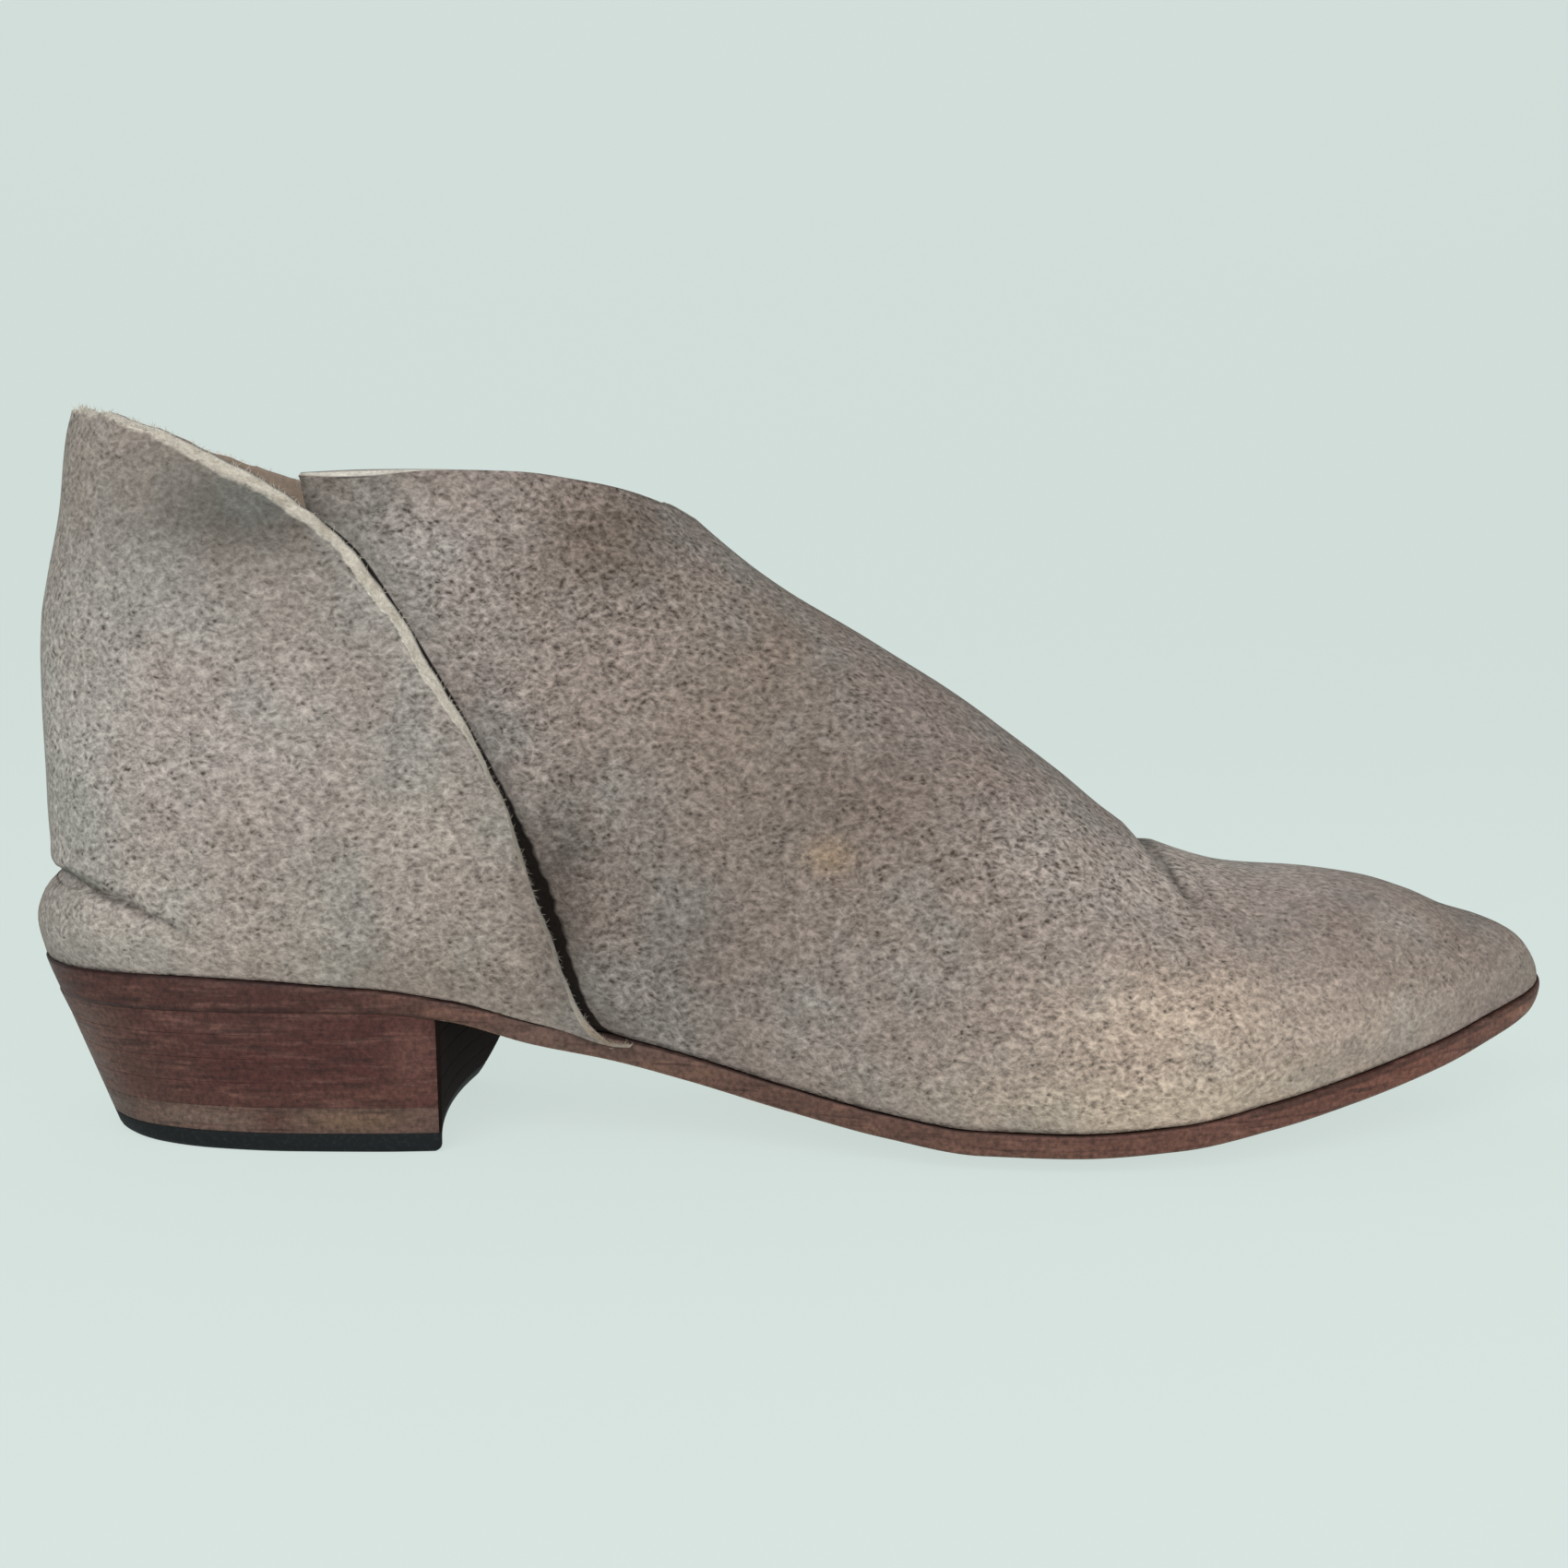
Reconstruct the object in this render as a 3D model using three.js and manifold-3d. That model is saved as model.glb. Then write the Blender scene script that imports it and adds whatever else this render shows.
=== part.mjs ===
// Ankle bootie for the right foot: pointed toe, low stacked heel, and a heel panel wrapped over the vamp.
// Millimetres, +Z up, the toe along +X, the outer (little toe) side along -Y, standing on the floor.

import * as THREE from 'three';
import { mergeVertices } from 'three/addons/utils/BufferGeometryUtils.js';
import Module from 'manifold-3d';

const wasm = await Module();
wasm.setup();

// Driving dimensions
const lastLength = 271.2;      // upper, from the back of the last to the tip of the toe
const ballWidth = 84.6;        // sole across the ball of the foot
const heelHeight = 25.2;       // floor to the underside of the sole at the heel seat
const toeSpring = 21.4;        // floor to the underside of the sole at the tip
const collarHeight = 126.8;    // floor to the top of the heel panel at the back
const backLean = 10;           // forward lean of the panel's top past the fullest point of the heel
const vampWall = 1.9;          // leather of the vamp
const panelWall = 2.4;         // leather of the heel panel
const panelStandOff = 1.6;     // the panel's front edge stands this far off the vamp
const featherTuck = 1.6;       // the upper curves in by this much where it meets the sole
const tuckHeight = 5;          // and does so over about this height
const toeRounding = 2.2;       // the top of the toe tip lies this far behind its foremost point
const soleThickness = 4.4;     // outsole at the ball
const soleEdge = 0.9;          // outsole shows this far past the upper
const soleTip = 0.2;           // and this far past it at the tip of the toe
const soleEdgeSlant = 0.6;     // the outsole's lower edge lies this far inside its upper edge
const heelSeatSlant = 2.4;     // and this far in front of it at the very back
const toeSlant = 1.5;          // and this far behind it at the tip of the toe
const soleCrown = 3.6;         // the sole's edges lie this far above its middle at the ball
const soleTread = 0.35;        // the middle of the ball is worn flat by this much
const insoleThickness = 2;
const insoleToeGap = 3;        // the insole ends this far short of the wall inside the toe
const breastFromBack = 74.5;   // heel breast, from the back of the sole, along the outer side
const breastSweep = 11;        // the breast runs forward by this much at the top of the inner side
const breastCurve = 0.8;       // below 1 it does most of this near the floor
const heelBackSlope = 0.4;     // the back of the heel comes forward by this share of its height
const heelTaper = 0.9;         // width of the walking face as a share of the width at the heel seat
const topPieceThickness = 3.6; // rubber walking piece
const topPieceRounding = 1;    // rounding of its lower edge
const firstLiftThickness = 4.6;
const liftThickness = 4.3;
const clearance = 0.3;         // between curved pieces that meet
const narrowHalf = 10;         // where the sole's half width is less, at its two ends, insets shrink with it

const stationCount = 40;       // sections along the upper and the sole
const archPoints = 28;         // points round each section of the upper

// The sole, a row for each section. along: share of its length, from the heel. outer and inner: half widths
// and swing: shift of the middle towards the inner side, as shares of half the ball width. heel and toe:
// shares of the heel height and of the toe spring. crown and thick: shares of soleCrown and soleThickness.
const soleRows = [
  { along: 0.00, outer: 0.000, inner: 0.000, swing: 0.000, heel: 1.000, toe: 0.000, crown: 0.00, thick: 1.36 },
  { along: 0.02, outer: 0.378, inner: 0.378, swing: 0.000, heel: 1.000, toe: 0.000, crown: 0.00, thick: 1.36 },
  { along: 0.05, outer: 0.544, inner: 0.544, swing: 0.000, heel: 1.000, toe: 0.000, crown: 0.00, thick: 1.36 },
  { along: 0.10, outer: 0.662, inner: 0.662, swing: 0.000, heel: 1.000, toe: 0.000, crown: 0.00, thick: 1.36 },
  { along: 0.16, outer: 0.714, inner: 0.709, swing: 0.000, heel: 1.000, toe: 0.000, crown: 0.00, thick: 1.22 },
  { along: 0.23, outer: 0.723, inner: 0.700, swing: 0.000, heel: 0.996, toe: 0.000, crown: 0.00, thick: 0.92 },
  { along: 0.28, outer: 0.707, inner: 0.662, swing: 0.000, heel: 0.937, toe: 0.000, crown: 0.00, thick: 0.78 },
  { along: 0.33, outer: 0.693, inner: 0.622, swing: 0.000, heel: 0.775, toe: 0.000, crown: 0.05, thick: 0.86 },
  { along: 0.38, outer: 0.690, inner: 0.596, swing: 0.000, heel: 0.650, toe: 0.000, crown: 0.15, thick: 0.90 },
  { along: 0.43, outer: 0.714, inner: 0.596, swing: 0.000, heel: 0.494, toe: 0.000, crown: 0.30, thick: 0.95 },
  { along: 0.49, outer: 0.775, inner: 0.643, swing: 0.004, heel: 0.280, toe: 0.000, crown: 0.60, thick: 0.92 },
  { along: 0.55, outer: 0.872, inner: 0.742, swing: 0.010, heel: 0.100, toe: 0.000, crown: 0.90, thick: 0.90 },
  { along: 0.61, outer: 0.960, inner: 0.875, swing: 0.018, heel: 0.000, toe: 0.000, crown: 1.00, thick: 0.90 },
  { along: 0.67, outer: 1.014, inner: 0.974, swing: 0.030, heel: 0.000, toe: 0.000, crown: 1.00, thick: 0.89 },
  { along: 0.73, outer: 0.998, inner: 0.983, swing: 0.045, heel: 0.000, toe: 0.048, crown: 0.97, thick: 0.92 },
  { along: 0.79, outer: 0.898, inner: 0.903, swing: 0.062, heel: 0.000, toe: 0.178, crown: 0.80, thick: 1.00 },
  { along: 0.85, outer: 0.723, inner: 0.747, swing: 0.080, heel: 0.000, toe: 0.339, crown: 0.55, thick: 1.05 },
  { along: 0.91, outer: 0.506, inner: 0.525, swing: 0.098, heel: 0.000, toe: 0.528, crown: 0.30, thick: 1.07 },
  { along: 0.96, outer: 0.288, inner: 0.298, swing: 0.112, heel: 0.000, toe: 0.726, crown: 0.10, thick: 1.03 },
  { along: 1.00, outer: 0.000, inner: 0.000, swing: 0.120, heel: 0.000, toe: 1.000, crown: 0.00, thick: 0.86 },
];

// The upper, a row for each section. crest: height of its top as a share of the collar's height. collar:
// half width at the collar as a share of half the ball width. leg: how far the section is an upright leg,
// not an arch. round: fullness of the arch. under: share of the heel panel that the last leaves room for.
const upperRows = [
  { along: 0.00, crest: 1.200, collar: 0.000, leg: 1.00, round: 9.0, under: 1.00 },
  { along: 0.02, crest: 1.200, collar: 0.300, leg: 1.00, round: 9.0, under: 1.00 },
  { along: 0.05, crest: 1.200, collar: 0.440, leg: 1.00, round: 9.0, under: 1.00 },
  { along: 0.10, crest: 1.200, collar: 0.545, leg: 1.00, round: 9.0, under: 1.00 },
  { along: 0.16, crest: 1.200, collar: 0.590, leg: 1.00, round: 9.0, under: 1.00 },
  { along: 0.23, crest: 1.190, collar: 0.600, leg: 1.00, round: 9.0, under: 1.00 },
  { along: 0.28, crest: 1.160, collar: 0.595, leg: 1.00, round: 8.0, under: 0.90 },
  { along: 0.33, crest: 1.090, collar: 0.580, leg: 0.95, round: 6.0, under: 0.65 },
  { along: 0.38, crest: 0.973, collar: 0.560, leg: 0.75, round: 4.0, under: 0.40 },
  { along: 0.43, crest: 0.852, collar: 0.540, leg: 0.40, round: 3.0, under: 0.15 },
  { along: 0.49, crest: 0.754, collar: 0.540, leg: 0.10, round: 2.5, under: 0.00 },
  { along: 0.55, crest: 0.678, collar: 0.600, leg: 0.00, round: 2.3, under: 0.00 },
  { along: 0.61, crest: 0.596, collar: 0.700, leg: 0.00, round: 2.2, under: 0.00 },
  { along: 0.67, crest: 0.498, collar: 0.800, leg: 0.00, round: 2.2, under: 0.00 },
  { along: 0.73, crest: 0.401, collar: 0.800, leg: 0.00, round: 2.3, under: 0.00 },
  { along: 0.79, crest: 0.362, collar: 0.700, leg: 0.00, round: 2.4, under: 0.00 },
  { along: 0.85, crest: 0.351, collar: 0.600, leg: 0.00, round: 2.5, under: 0.00 },
  { along: 0.88, crest: 0.343, collar: 0.500, leg: 0.00, round: 2.5, under: 0.00 },
  { along: 0.91, crest: 0.323, collar: 0.400, leg: 0.00, round: 2.5, under: 0.00 },
  { along: 0.935, crest: 0.300, collar: 0.300, leg: 0.00, round: 2.5, under: 0.00 },
  { along: 0.96, crest: 0.286, collar: 0.200, leg: 0.00, round: 2.5, under: 0.00 },
  { along: 1.00, crest: 0.252, collar: 0.000, leg: 0.00, round: 2.5, under: 0.00 },
];

// Back of the heel from the side: how far it lies in front of its fullest point, as a share of backLean,
// at heights that are shares of the collar's height. The leather folds in a little above the fullest point.
const backRows = [
  { height: 0.240, inset: 0.14 },
  { height: 0.295, inset: 0.00 },
  { height: 0.325, inset: 0.13 },
  { height: 0.352, inset: 0.42 },
  { height: 0.395, inset: 0.32 },
  { height: 0.470, inset: 0.27 },
  { height: 0.660, inset: 0.26 },
  { height: 0.715, inset: 0.31 },
  { height: 0.770, inset: 0.45 },
  { height: 0.870, inset: 0.72 },
  { height: 0.970, inset: 0.90 },
  { height: 1.000, inset: 1.00 },
];

// Collar of the vamp from the side, from its hidden rear corner to the throat.
const collarRows = [
  { along: 0.189, height: 0.9150 },
  { along: 0.232, height: 0.9190 },
  { along: 0.277, height: 0.9200 },
  { along: 0.323, height: 0.9180 },
  { along: 0.368, height: 0.9060 },
  { along: 0.392, height: 0.8930 },
  { along: 0.413, height: 0.8740 },
  { along: 0.427, height: 0.8560 },
  { along: 0.441, height: 0.8380 },
];

// Rear edge of the vamp from the side, hidden inside the heel panel, from the sole up to the collar.
const vampRearRows = [
  { along: 0.274, height: 0.15 },
  { along: 0.258, height: 0.40 },
  { along: 0.226, height: 0.65 },
  { along: 0.196, height: 0.84 },
  { along: 0.189, height: 0.9150 },
];

// Front edge of the heel panel from the side, from the top of the back down to its corner on the sole.
const panelRows = [
  { along: 0.029, height: 0.999 },
  { along: 0.087, height: 0.971 },
  { along: 0.147, height: 0.923 },
  { along: 0.191, height: 0.870 },
  { along: 0.224, height: 0.814 },
  { along: 0.246, height: 0.748 },
  { along: 0.268, height: 0.670 },
  { along: 0.289, height: 0.592 },
  { along: 0.311, height: 0.494 },
  { along: 0.333, height: 0.365 },
  { along: 0.355, height: 0.235 },
  { along: 0.369, height: 0.180 },
  { along: 0.392, height: 0.150 },
];

// How far the panel's front edge stands off the vamp, as a share of panelStandOff.
const standOffRows = [
  { height: 0.12, share: 0.30 },
  { height: 0.22, share: 0.80 },
  { height: 0.38, share: 1.00 },
  { height: 0.55, share: 0.80 },
  { height: 0.72, share: 0.25 },
  { height: 0.85, share: 0.00 },
];
const standOffReach = 26;      // the panel lifts over this distance behind its edge

const halfBall = ballWidth / 2;
const lastBack = panelWall + clearance;
const soleBack = lastBack - soleEdge;
const soleLength = lastLength + soleEdge + soleTip;
const backFade = 0.25;         // share of the length over which the shape of the back fades out
const toeFade = 0.08;          // and the rounding of the toe tip
const cutBelow = heelHeight / 2;   // the hollow is cut this far down past the feather edge
const heelSeatEnd = 0.2;       // share of the length where the sock is as wide as the heel panel allows
const vampStart = 0.25;        // and where the vamp's wall has begun

// A smooth curve through a table's column that never swings past its rows (monotone cubic).
function column(rows, key, value, place = (u) => u) {
  const xs = rows.map((row) => place(row[key]));
  const ys = rows.map((row) => row[value]);
  const last = xs.length - 1;
  const steps = xs.slice(1).map((x, i) => (ys[i + 1] - ys[i]) / (x - xs[i]));
  const slopes = ys.map((_, i) => {
    if (i === 0) return steps[0];
    if (i === last) return steps[last - 1];
    if (steps[i - 1] * steps[i] <= 0) return 0;
    return 2 / (1 / steps[i - 1] + 1 / steps[i]);
  });
  return (u) => {
    const at = THREE.MathUtils.clamp(place(u), xs[0], xs[last]);
    let i = 0;
    while (i < last - 1 && at > xs[i + 1]) i += 1;
    const width = xs[i + 1] - xs[i];
    const t = (at - xs[i]) / width;
    const rise = ys[i + 1] - ys[i];
    const bend = slopes[i] * width * t * (1 - t) ** 2 - slopes[i + 1] * width * t ** 2 * (1 - t);
    return ys[i] + rise * t ** 2 * (3 - 2 * t) + bend;
  };
}

// Sections are spaced by an angle, so that they crowd at the heel and the toe, where the outline is round.
const shareToAngle = (share) => Math.acos(THREE.MathUtils.clamp(1 - 2 * share, -1, 1));
const angleToShare = (angle) => (1 - Math.cos(angle)) / 2;
const soleColumn = (name) => column(soleRows, 'along', name, shareToAngle);
const upperColumn = (name) => column(upperRows, 'along', name, shareToAngle);

const sole = {
  outer: soleColumn('outer'),
  inner: soleColumn('inner'),
  swing: soleColumn('swing'),
  heel: soleColumn('heel'),
  toe: soleColumn('toe'),
  crown: soleColumn('crown'),
  thick: soleColumn('thick'),
};
const upper = {
  crest: upperColumn('crest'),
  collar: upperColumn('collar'),
  leg: upperColumn('leg'),
  round: upperColumn('round'),
  under: upperColumn('under'),
};
const backInset = column(backRows, 'height', 'inset');
const standOffShare = column(standOffRows, 'height', 'share');
const descendingPanelRows = [...panelRows].reverse();
const panelEdgeAlong = column(descendingPanelRows, 'height', 'along');

// Half width of the sole on one side: -1 is the outer side, 1 the inner.
function soleHalfWidth(share, side) {
  const width = side < 0 ? sole.outer(share) : sole.inner(share);
  return width * halfBall;
}

// Heights of the sole's two faces, before the tread is worn flat.
function soleUnderside(x, y) {
  const share = THREE.MathUtils.clamp((x - soleBack) / soleLength, 0, 1);
  const middle = sole.swing(share) * halfBall;
  const half = Math.max(soleHalfWidth(share, Math.sign(y - middle) || 1), 1);
  const across = Math.min(Math.abs(y - middle) / half, 1);
  const crown = sole.crown(share) * (soleCrown * across ** 2 - soleTread);
  return sole.heel(share) * heelHeight + sole.toe(share) * toeSpring + crown;
}

function soleTop(x, y) {
  const share = THREE.MathUtils.clamp((x - soleBack) / soleLength, 0, 1);
  return soleUnderside(x, y) + sole.thick(share) * soleThickness;
}

// Places along an arch, from its foot (0) to its crest (1), evenly spaced along the leather: the share of
// the arch's height that each place has reached.
function evenRise(height, width, round, climb) {
  const steps = 60;
  const at = (i) => {
    const turn = Math.PI / 2 * i / steps;
    return [width * Math.cos(turn), height * Math.sin(turn) ** (2 / round)];
  };
  const lengths = [0];
  for (let i = 1; i <= steps; i += 1) {
    const [before, here] = [at(i - 1), at(i)];
    lengths.push(lengths[i - 1] + Math.hypot(here[0] - before[0], here[1] - before[1]));
  }
  const wanted = climb * lengths[steps];
  let i = 1;
  while (i < steps && lengths[i] < wanted) i += 1;
  const part = (wanted - lengths[i - 1]) / (lengths[i] - lengths[i - 1]);
  return THREE.MathUtils.lerp(at(i - 1)[1], at(i)[1], part) / height;
}

// A point on the outside of the vamp's form. angle runs from the heel (0) to the toe (pi), and turn from
// the outer feather edge (0) over the crest (0.5) to the inner feather edge (1).
function formPoint(angle, turn) {
  const share = angleToShare(angle);
  const along = lastBack + share * lastLength;
  const side = turn <= 0.5 ? -1 : 1;
  const climb = 1 - Math.abs(2 * turn - 1);
  const leg = upper.leg(share);
  const middle = sole.swing(share) * halfBall;

  const soleWidth = soleHalfWidth(share, side);
  const inset = soleEdge + upper.under(share) * lastBack;
  const foot = soleWidth - inset * Math.min(1, soleWidth / narrowHalf);
  const feather = soleTop(along, middle + side * foot) + clearance;
  const crest = upper.crest(share) * collarHeight;
  const round = upper.round(share);
  const rise = evenRise(crest - feather, foot, round, climb);
  const z = feather + (crest - feather) * rise;

  const lean = THREE.MathUtils.clamp((z - feather) / (collarHeight - feather), 0, 1);
  const collar = upper.collar(share) * halfBall;
  const tuck = featherTuck * (1 - Math.exp(-(((z - feather) / tuckHeight) ** 2)));
  const width = THREE.MathUtils.lerp(foot, collar, lean * leg) + tuck * Math.min(1, foot / narrowHalf);
  const arch = Math.sqrt(Math.max(0, 1 - rise ** round));

  const backShift = backInset(z / collarHeight) * backLean * Math.max(0, 1 - share / backFade) ** 2;
  const toeShift = toeRounding * rise ** 2 * Math.max(0, 1 - (1 - share) / toeFade) ** 2;
  return new THREE.Vector3(along + backShift - toeShift, middle + side * width * arch, z);
}

// Directions straight out of the form, at every point of its grid. At the feather edge they are level.
function formNormals(points) {
  const nudge = 1e-3;
  const normals = points.map((row, i) => row.map((point, j) => {
    const angle = Math.PI * i / stationCount;
    const turn = j / archPoints;
    const ahead = formPoint(Math.min(Math.PI, angle + nudge), turn);
    ahead.sub(formPoint(Math.max(0, angle - nudge), turn));
    const nextTurn = Math.min(turn < 0.5 ? 0.5 : 1, turn + nudge);
    const round = formPoint(angle, nextTurn).sub(formPoint(angle, Math.max(0, turn - nudge)));
    const normal = ahead.cross(round);
    if (i === 0 || i === stationCount) normal.y = 0;
    if (j === 0 || j === archPoints) normal.z = 0;
    return normal;
  }));
  const middle = archPoints / 2;
  for (const i of [0, stationCount]) {
    const beside = normals[i][middle - 1].clone().normalize();
    const inward = normals[i === 0 ? 1 : stationCount - 1][middle].clone().normalize();
    normals[i][middle] = beside.add(inward);
  }
  return normals.map((row) => row.map((normal) => normal.normalize()));
}

const formGrid = Array.from({ length: stationCount + 1 }, (_, i) => (
  Array.from({ length: archPoints + 1 }, (_, j) => formPoint(Math.PI * i / stationCount, j / archPoints))
));
const formOut = formNormals(formGrid);

// A closed solid through sections that are rings of as many points each. Points that fall together are
// merged, so the first and the last section may be a line.
function loft(sections) {
  const ring = sections[0].length;
  const positions = sections.flat().flatMap((point) => [point.x, point.y, point.z]);
  const indices = [];
  for (let i = 0; i < sections.length - 1; i += 1) {
    for (let j = 0; j < ring; j += 1) {
      const a = i * ring + j;
      const b = i * ring + (j + 1) % ring;
      indices.push(a, a + ring, b, b, a + ring, b + ring);
    }
  }
  for (const [start, turned] of [[0, false], [(sections.length - 1) * ring, true]]) {
    for (let j = 1; j < ring - 1; j += 1) {
      const fan = turned ? [start, start + j + 1, start + j] : [start, start + j, start + j + 1];
      indices.push(...fan);
    }
  }
  const geometry = new THREE.BufferGeometry();
  geometry.setAttribute('position', new THREE.Float32BufferAttribute(positions, 3));
  geometry.setIndex(indices);
  return geometry;
}

// Boolean work: a geometry becomes a solid once its doubled points are merged and its flat faces dropped.
function toSolid(geometry) {
  const bare = geometry.clone();
  bare.deleteAttribute('normal');
  bare.deleteAttribute('uv');
  const weldDistance = 1e-4;
  const merged = mergeVertices(bare, weldDistance);
  const faces = [];
  const index = merged.index.array;
  for (let i = 0; i < index.length; i += 3) {
    const [a, b, c] = [index[i], index[i + 1], index[i + 2]];
    if (a !== b && b !== c && c !== a) faces.push(a, b, c);
  }
  return new wasm.Manifold(new wasm.Mesh({
    numProp: 3,
    vertProperties: new Float32Array(merged.attributes.position.array),
    triVerts: new Uint32Array(faces),
  }));
}

function toGeometry(solid) {
  const mesh = solid.getMesh();
  const geometry = new THREE.BufferGeometry();
  geometry.setAttribute('position', new THREE.Float32BufferAttribute(mesh.vertProperties, 3));
  geometry.setIndex([...mesh.triVerts]);
  geometry.computeVertexNormals();
  return geometry;
}

// The form, grown outwards by an offset that may change from place to place. A form that is cut out of
// another reaches below the feather edge, so that the shell it leaves is open underneath.
function form(offset, reachBelow) {
  return toSolid(loft(formGrid.map((row, i) => {
    const section = row.map((point, j) => point.clone().addScaledVector(formOut[i][j], offset(point)));
    if (reachBelow > 0) {
      section.unshift(section[0].clone().setZ(section[0].z - reachBelow));
      const end = section[section.length - 1];
      section.push(end.clone().setZ(end.z - reachBelow));
    }
    return section;
  })));
}

// A plate as wide as the shoe, with an outline drawn from the side.
function sidePlate(outline) {
  const width = 2 * ballWidth;
  const shape = new THREE.Shape(outline.map(([x, z]) => new THREE.Vector2(x, z)));
  const geometry = new THREE.ExtrudeGeometry(shape, { depth: width, bevelEnabled: false });
  geometry.rotateX(Math.PI / 2);
  geometry.translate(0, width / 2, 0);
  return toSolid(geometry);
}

// A smooth line through rows drawn from the side.
function sideLine(rows, pieces) {
  const points = rows.map((row) => new THREE.Vector2(
    lastBack + row.along * lastLength,
    row.height * collarHeight,
  ));
  return new THREE.SplineCurve(points).getPoints(pieces).map((point) => [point.x, point.y]);
}

// Vamp: one hollow wall, open at the collar, at the back and underneath
function makeVamp() {
  const wall = form(() => 0, 0).subtract(form(() => -vampWall, cutBelow));
  const far = 2 * collarHeight;
  const rear = sideLine(vampRearRows, 12);
  const collar = sideLine(collarRows, 24).slice(1);
  const throat = collar[collar.length - 1];
  const outline = [
    [rear[0][0], -far],
    ...rear,
    ...collar,
    [throat[0], far],
    [lastBack + 2 * lastLength, far],
    [lastBack + 2 * lastLength, -far],
  ];
  return wall.intersect(sidePlate(outline));
}

// Heel panel: wrapped round the back, over the vamp on both sides, its front edges standing off
function makeHeelPanel() {
  const lift = (point) => {
    const height = point.z / collarHeight;
    const edge = lastBack + panelEdgeAlong(height) * lastLength;
    const near = THREE.MathUtils.clamp(1 - (edge - point.x) / standOffReach, 0, 1);
    return panelStandOff * standOffShare(height) * near ** 2;
  };
  const outside = form((point) => clearance + lift(point) + panelWall, 0);
  const inside = form((point) => clearance + lift(point), cutBelow);
  const far = 2 * collarHeight;
  const edge = sideLine(panelRows, 36);
  const corner = edge[edge.length - 1];
  const outline = [
    [-far, -far],
    [corner[0], -far],
    ...edge.reverse(),
    [-far, edge[edge.length - 1][1]],
  ];
  return outside.subtract(inside).intersect(sidePlate(outline));
}

// A bent slab such as the sole or the sock, a section at each station: its lower and its upper outline are
// given by functions of the angle along the shoe, and the heights of its two faces by functions of the place.
function slab(lowerEdge, upperEdge, lowerFace, upperFace) {
  const shares = [0, 0.2, 0.4, 0.6, 0.8, 1];
  const across = (edge, angle, height) => shares.map((share) => {
    const point = edge(angle, -1).lerp(edge(angle, 1), share);
    return point.setZ(height(point.x, point.y));
  });
  return loft(Array.from({ length: stationCount + 1 }, (_, i) => {
    const angle = Math.PI * i / stationCount;
    return [...across(upperEdge, angle, upperFace), ...across(lowerEdge, angle, lowerFace).reverse()];
  }));
}

// Outsole: from the heel seat to the toe, worn flat where it stands
function soleOutline(angle, side, slant) {
  const share = angleToShare(angle);
  const half = soleHalfWidth(share, side);
  const drawnIn = slant * soleEdgeSlant * Math.min(1, half / narrowHalf);
  const fromBack = slant * heelSeatSlant * Math.max(0, 1 - share / heelSeatEnd) ** 2;
  const fromTip = slant * toeSlant * Math.max(0, 1 - (1 - share) / toeFade) ** 2;
  const y = sole.swing(share) * halfBall + side * (half - drawnIn);
  return new THREE.Vector3(soleBack + share * soleLength + fromBack - fromTip, y, 0);
}

function makeOutsole() {
  const lowerEdge = (angle, side) => soleOutline(angle, side, 1);
  const upperEdge = (angle, side) => soleOutline(angle, side, 0);
  return slab(lowerEdge, upperEdge, (x, y) => Math.max(0, soleUnderside(x, y)), soleTop);
}

// Insole: fills the inside between the walls, on the outsole
function makeInsole() {
  const edge = (angle, side) => {
    const station = Math.round(angle / Math.PI * stationCount);
    const place = side < 0 ? 0 : archPoints;
    const beside = THREE.MathUtils.smoothstep(angleToShare(angle), heelSeatEnd, vampStart);
    const tip = THREE.MathUtils.smoothstep(angleToShare(angle), 1 - toeFade, 1);
    const gap = beside * (vampWall + clearance) + tip * insoleToeGap;
    return formGrid[station][place].clone().addScaledVector(formOut[station][place], -gap);
  };
  const lower = (x, y) => soleTop(x, y) + clearance;
  return slab(edge, edge, lower, (x, y) => lower(x, y) + insoleThickness);
}

// Outline of the heel at a height, seen from above: round at the back, straight across at the breast. The
// heel narrows towards the floor, and its breast runs forward towards the top of the inner side.
function heelOutline(height, inset) {
  const rise = height / heelHeight;
  const back = soleBack + heelSeatSlant + heelBackSlope * (heelHeight - height) + inset;
  const breast = soleBack + breastFromBack - inset;
  const taper = THREE.MathUtils.lerp(heelTaper, 1, rise);
  const pointsPerSide = 12;
  const sides = [-1, 1].map((side) => Array.from({ length: pointsPerSide + 1 }, (_, i) => {
    const v = 1 - Math.cos(Math.PI / 2 * i / pointsPerSide);
    const share = v * breastFromBack / soleLength;
    const half = soleHalfWidth(share, side) - (soleEdgeSlant + inset) * Math.min(1, v * pointsPerSide);
    const sweep = side > 0 ? breastSweep * rise ** breastCurve : 0;
    const x = THREE.MathUtils.lerp(back, breast + sweep, v);
    return new THREE.Vector3(x, side * half * taper, height);
  }));
  return [...sides[1], ...sides[0].slice(1).reverse()];
}

function heelSlice(heights, insets) {
  return loft(heights.map((height, i) => heelOutline(height, insets[i])));
}

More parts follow.
